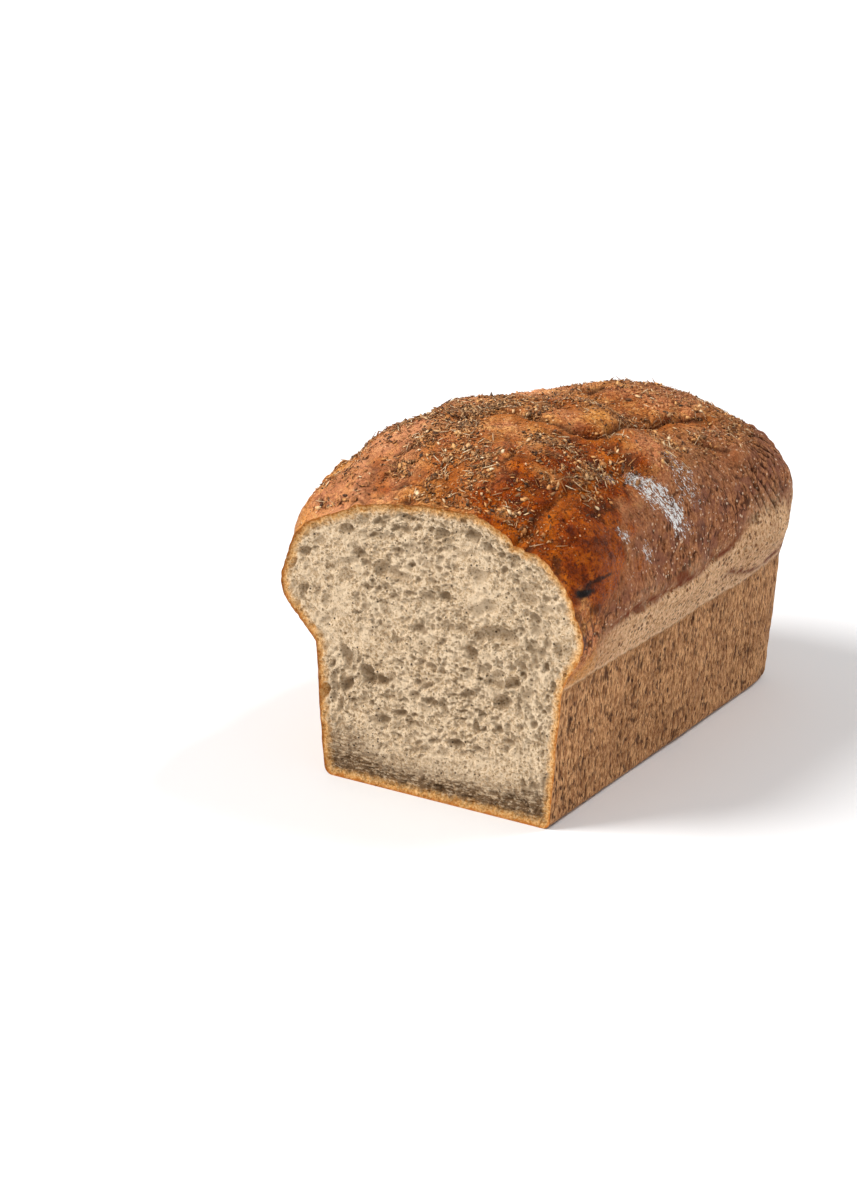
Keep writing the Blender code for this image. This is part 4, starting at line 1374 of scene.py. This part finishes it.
# %% Flour rubbed on the crust, whose white streaks also stand for painted highlights
FLOUR_HIGHLIGHT_WHITE = (0.96, 0.94, 0.92)
FLOUR_GREY = (0.200, 0.120, 0.085)
STREAK_RUN = (0.45, 0.39, -0.81)
STROKE_SHARE = 0.65

strokes = dome.noise(0.00075, 3, 0.60, dome.turned(STREAK_RUN, 4.0))
dusting = dome.noise(0.0007, 3, 0.70)
dust_and_highlights = dome.maths("ADD", dome.times(strokes, STROKE_SHARE), dome.times(dusting, 1 - STROKE_SHARE))
dust_and_highlights = dome.window(dome.maths("ADD", dust_and_highlights, dome.times(flour_highlight_mask, 0.095)), 0.595, 0.612)
dust_and_highlights = dome.times(dust_and_highlights, dome.window(flour_highlight_mask, 0.02, 0.12))
colour = dome.over(colour, FLOUR_GREY, flour_highlight_mask, 0.45)
colour = dome.over(colour, FLOUR_HIGHLIGHT_WHITE, dust_and_highlights)

# %% Shine and grain of the dome
rough = dome.maths("ADD", dome.times(fleck, 0.40), 0.30)
rough = dome.maths("ADD", rough, dome.times(glaze_mask, -0.28))
rough = dome.maths("ADD", rough, dome.times(dome.attribute("dull"), 0.25), clamp=True)
normal = dome.bump(dome.noise(0.0009, 3, 0.75), 0.0005)
crackle = dome.lines(0.0030, dome.shaken(0.0022, 0.0018), (0.0, 0.16))
normal = dome.bump(crackle, 0.0005, 0.6, normal)
normal = dome.bump(skin, 0.0009, 1.0, normal)
dome_crust = dome.finish(Base_Color=colour, Roughness=rough, Normal=normal)


# %% [markdown]
# The walls and the underside use the wall's colours alone. Their flecks are drawn out upwards on
# the walls, because the dough slid up along the tin, and they are round underneath.

# %% Finish of the walls and the underside
def wall_finish(name, upright):
    """The wall's colours, with painted shade in the pores of the mesh, over a grainy bump."""
    made = Recipe(name, Roughness=0.78, Specular_IOR_Level=0.3)
    tan, grain, holes = wall_colour(made, upright)
    # painted shade where the mesh's pores sink in
    tan = made.over(tan, WALL_PORE_SHADE, made.window(made.attribute("relief"), -0.10, -0.55), 0.82)
    normal = made.bump(grain, 0.0008)
    normal = made.bump(made.maths("SUBTRACT", 1.0, holes), 0.0005, 0.8, normal)
    return made.finish(Base_Color=tan, Normal=normal)


tin_crust = wall_finish("tin_side_crust", UPRIGHT)
base_crust = wall_finish("underside_crust", ROUND)

# %% [markdown]
# The crumb is greyish beige with dark bran specks. The walls between its bubbles are lightest
# where the knife went through them, and each hollow is painted darker the deeper it goes, as the
# shade in it. Bubbles smaller than the mesh's cells are painted dark as shade, and bumped. Towards
# the crust the crumb turns golden over a few millimetres, and the layer above the base is dense,
# and painted darker and browner towards the bottom.

# %% Colours of the open crumb
CRUMB_LIGHT = (0.880, 0.690, 0.475)
CRUMB_BEIGE = (0.660, 0.460, 0.270)
CRUMB_BROWN = (0.420, 0.270, 0.140)
CRUMB_SHADE = (0.300, 0.180, 0.080)
HOLE_SHADE = (0.205, 0.128, 0.064)
LOW_BROWN = (0.120, 0.058, 0.020)
BRAN_SPECK = (0.050, 0.030, 0.017)

foamy = Recipe("open_crumb", Roughness=0.9, Specular_IOR_Level=0.2)
foam = foamy.noise(0.0010, 4, 0.80)
uneven = foamy.shaken(0.0014, 0.0007, foamy.stretched((1, 1, 1.25)))
small_holes = foamy.spots(0.0021, -0.15, 0.46, (0.0, 0.35), uneven)
pinholes = foamy.spots(0.0012, -0.15, 0.50, (0.0, 0.40), uneven)
squeezed = foamy.noise(0.0034, 4, 0.70, foamy.stretched((1, 1, 3.2)))
low_share = foamy.maths("ADD", foamy.window(squeezed, 0.42, 0.54), 0.52)
low_share = foamy.maths("MULTIPLY", low_share, foamy.attribute("low"), clamp=True)
specks = foamy.spots(0.0023, -0.16, 0.25, (0.05, 0.25), foamy.shaken(0.0009, 0.0008))
beige = foamy.ramp(foam, (0.36, CRUMB_BROWN), (0.45, CRUMB_BEIGE), (0.56, CRUMB_LIGHT))
light = foamy.over(beige, CRUMB_LIGHT, 0.5)
beige = foamy.over(beige, light, foamy.window(foamy.noise(0.012, 4, 0.55), 0.46, 0.62))
for paint, share, strength in (
    (CRUMB_SHADE, pinholes, 0.50),
    (CRUMB_SHADE, small_holes, 0.62),
    # painted shade in the hollows, darker the deeper they go
    (HOLE_SHADE, foamy.window(foamy.attribute("shade"), 0.10, 0.95), 0.90),
    (LOW_BROWN, low_share, 0.92),
    (BRAN_SPECK, specks, 0.9),
):
    beige = foamy.over(beige, paint, share, strength)

# %% Golden rim of the crumb
RIM_GOLD = (0.760, 0.380, 0.105)
RIM_LIGHT = (0.920, 0.580, 0.260)
RIM_DARK = (0.460, 0.170, 0.030)
RIM_BROWN = (0.460, 0.150, 0.022)
RAGGED_BY = 6.0

ragged = foamy.times(foamy.noise(0.0032, 4, 0.75), RAGGED_BY)
ragged = foamy.maths("SUBTRACT", ragged, RAGGED_BY / 2)
from_rim = foamy.maths("SUBTRACT", foamy.attribute("rim"), ragged)
golden = foamy.ramp(foam, (0.38, RIM_DARK), (0.48, RIM_GOLD), (0.60, RIM_LIGHT))
beige = foamy.over(beige, golden, foamy.window(from_rim, 4.6, 1.6), 0.9)
beige = foamy.over(beige, RIM_BROWN, foamy.window(from_rim, 1.6, 0.1))
normal = foamy.bump(foamy.maths("SUBTRACT", 1.0, pinholes), 0.0004, 0.8)
normal = foamy.bump(foamy.maths("SUBTRACT", 1.0, small_holes), 0.0007, 0.9, normal)
normal = foamy.bump(foam, 0.0008, 1.0, normal)
crumb_finish = foamy.finish(Base_Color=beige, Normal=normal)

# %% [markdown]
# Each flake has its own tone, a random number that was stored on its points, and a ramp turns
# that into a colour from dark bran to pale straw.


# %% Finishes of the toppings
TOPPING_GRAIN = (0.160, 0.060, 0.024)
TONES = {
    # piece: name of its finish, roughness, and the colours of its tones
    "bran_flakes": (
        "bran",
        0.5,
        (0.0, (0.060, 0.024, 0.009)),
        (0.3, (0.300, 0.110, 0.032)),
        (0.6, (0.620, 0.260, 0.078)),
        (0.88, (0.800, 0.430, 0.160)),
        (1.0, (0.960, 0.740, 0.460)),
    ),
    "bran_chips": (
        "bran_chip",
        0.5,
        (0.0, (0.110, 0.055, 0.025)),
        (0.5, (0.360, 0.175, 0.070)),
        (1.0, (0.720, 0.430, 0.200)),
    ),
    "straw_slivers": (
        "straw",
        0.4,
        (0.0, (0.220, 0.080, 0.024)),
        (0.55, (0.520, 0.240, 0.085)),
        (1.0, (0.980, 0.800, 0.520)),
    ),
    "burnt_flecks": (
        "burnt_bran",
        0.55,
        (0.0, (0.026, 0.016, 0.010)),
        (0.6, (0.080, 0.042, 0.022)),
        (1.0, (0.170, 0.090, 0.050)),
    ),
    "crust_crumbs": (
        "crust_grain",
        0.4,
        (0.0, (0.100, 0.034, 0.010)),
        (0.4, (0.360, 0.125, 0.034)),
        (0.8, (0.620, 0.260, 0.080)),
        (1.0, (0.920, 0.660, 0.400)),
    ),
    "flour_grains": ("flour", 0.85, (0.0, (0.80, 0.74, 0.68)), (1.0, (0.94, 0.92, 0.90))),
}


def toned(name, roughness, *stops):
    """A finish whose colour follows the tone of each flake, with a little grain on top."""
    made = Recipe(name, Roughness=roughness, Specular_IOR_Level=0.2)
    tone = made.ramp(made.attribute("tone"), *stops)
    grain = made.window(made.noise(0.0008, 2, 0.6), 0.45, 0.70)
    return made.finish(Base_Color=made.over(tone, TOPPING_GRAIN, grain, 0.35))


for name, values in TONES.items():
    toppings[name].data.materials.append(toned(*values))
for piece, finish in (
    (crown, dome_crust),
    (shoulder, dome_crust),
    (tin_walls, tin_crust),
    (base, base_crust),
    (crumb, crumb_finish),
):
    piece.data.materials.append(finish)
print("finishes:", len(bpy.data.materials))

# %% [markdown]
# The loaf stands on a plain white floor under soft studio light. A broad window at the left gives
# the crown its shape and drops a soft shadow to the right. A weaker one behind on the right draws
# out the grain of the sides and sets small highlights on the glaze. White surroundings fill in.

# %% Floor
FLOOR_HALF = 4.0

corners = [(-1, -1), (1, -1), (1, 1), (-1, 1)]
floor_mesh = bpy.data.meshes.new("floor")
floor_mesh.from_pydata([(x * FLOOR_HALF, y * FLOOR_HALF, 0) for x, y in corners], [], [(0, 1, 2, 3)])
floor = bpy.data.objects.new("floor", floor_mesh)
bpy.context.scene.collection.objects.link(floor)
white_floor = Recipe("white_floor", Roughness=0.7, Base_Color=(0.86, 0.86, 0.87))
floor_mesh.materials.append(white_floor.material)
floor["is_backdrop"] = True

# %% Light
SURROUNDINGS = 0.47

world = bpy.data.worlds.new("studio")
bpy.context.scene.world = world
world.use_nodes = True
world.node_tree.nodes["Background"].inputs["Color"].default_value = (1, 1, 1, 1)
world.node_tree.nodes["Background"].inputs["Strength"].default_value = SURROUNDINGS


def far_lamp(name, towards, strength, spread, colour):
    """A lamp so far off that it lights the floor evenly; its spread in degrees softens shadows."""
    data = bpy.data.lights.new(name, "SUN")
    data.energy = strength
    data.angle = math.radians(spread)
    data.color = colour
    made = bpy.data.objects.new(name, data)
    made.rotation_euler = Vector(towards).to_track_quat("Z", "Y").to_euler()
    bpy.context.scene.collection.objects.link(made)


far_lamp("window_left", (-0.62, -0.46, 0.78), 3.2, 30, (1.0, 0.99, 0.97))
far_lamp("window_back_right", (0.42, 0.46, 0.80), 0.7, 16, (1.0, 1.0, 1.0))
far_lamp("bare_lamp_behind", (0.32, 0.44, 0.84), 0.4, 5, (1.0, 1.0, 1.0))

bpy.context.scene.view_settings.view_transform = "Standard"
bpy.context.scene.view_settings.look = "None"
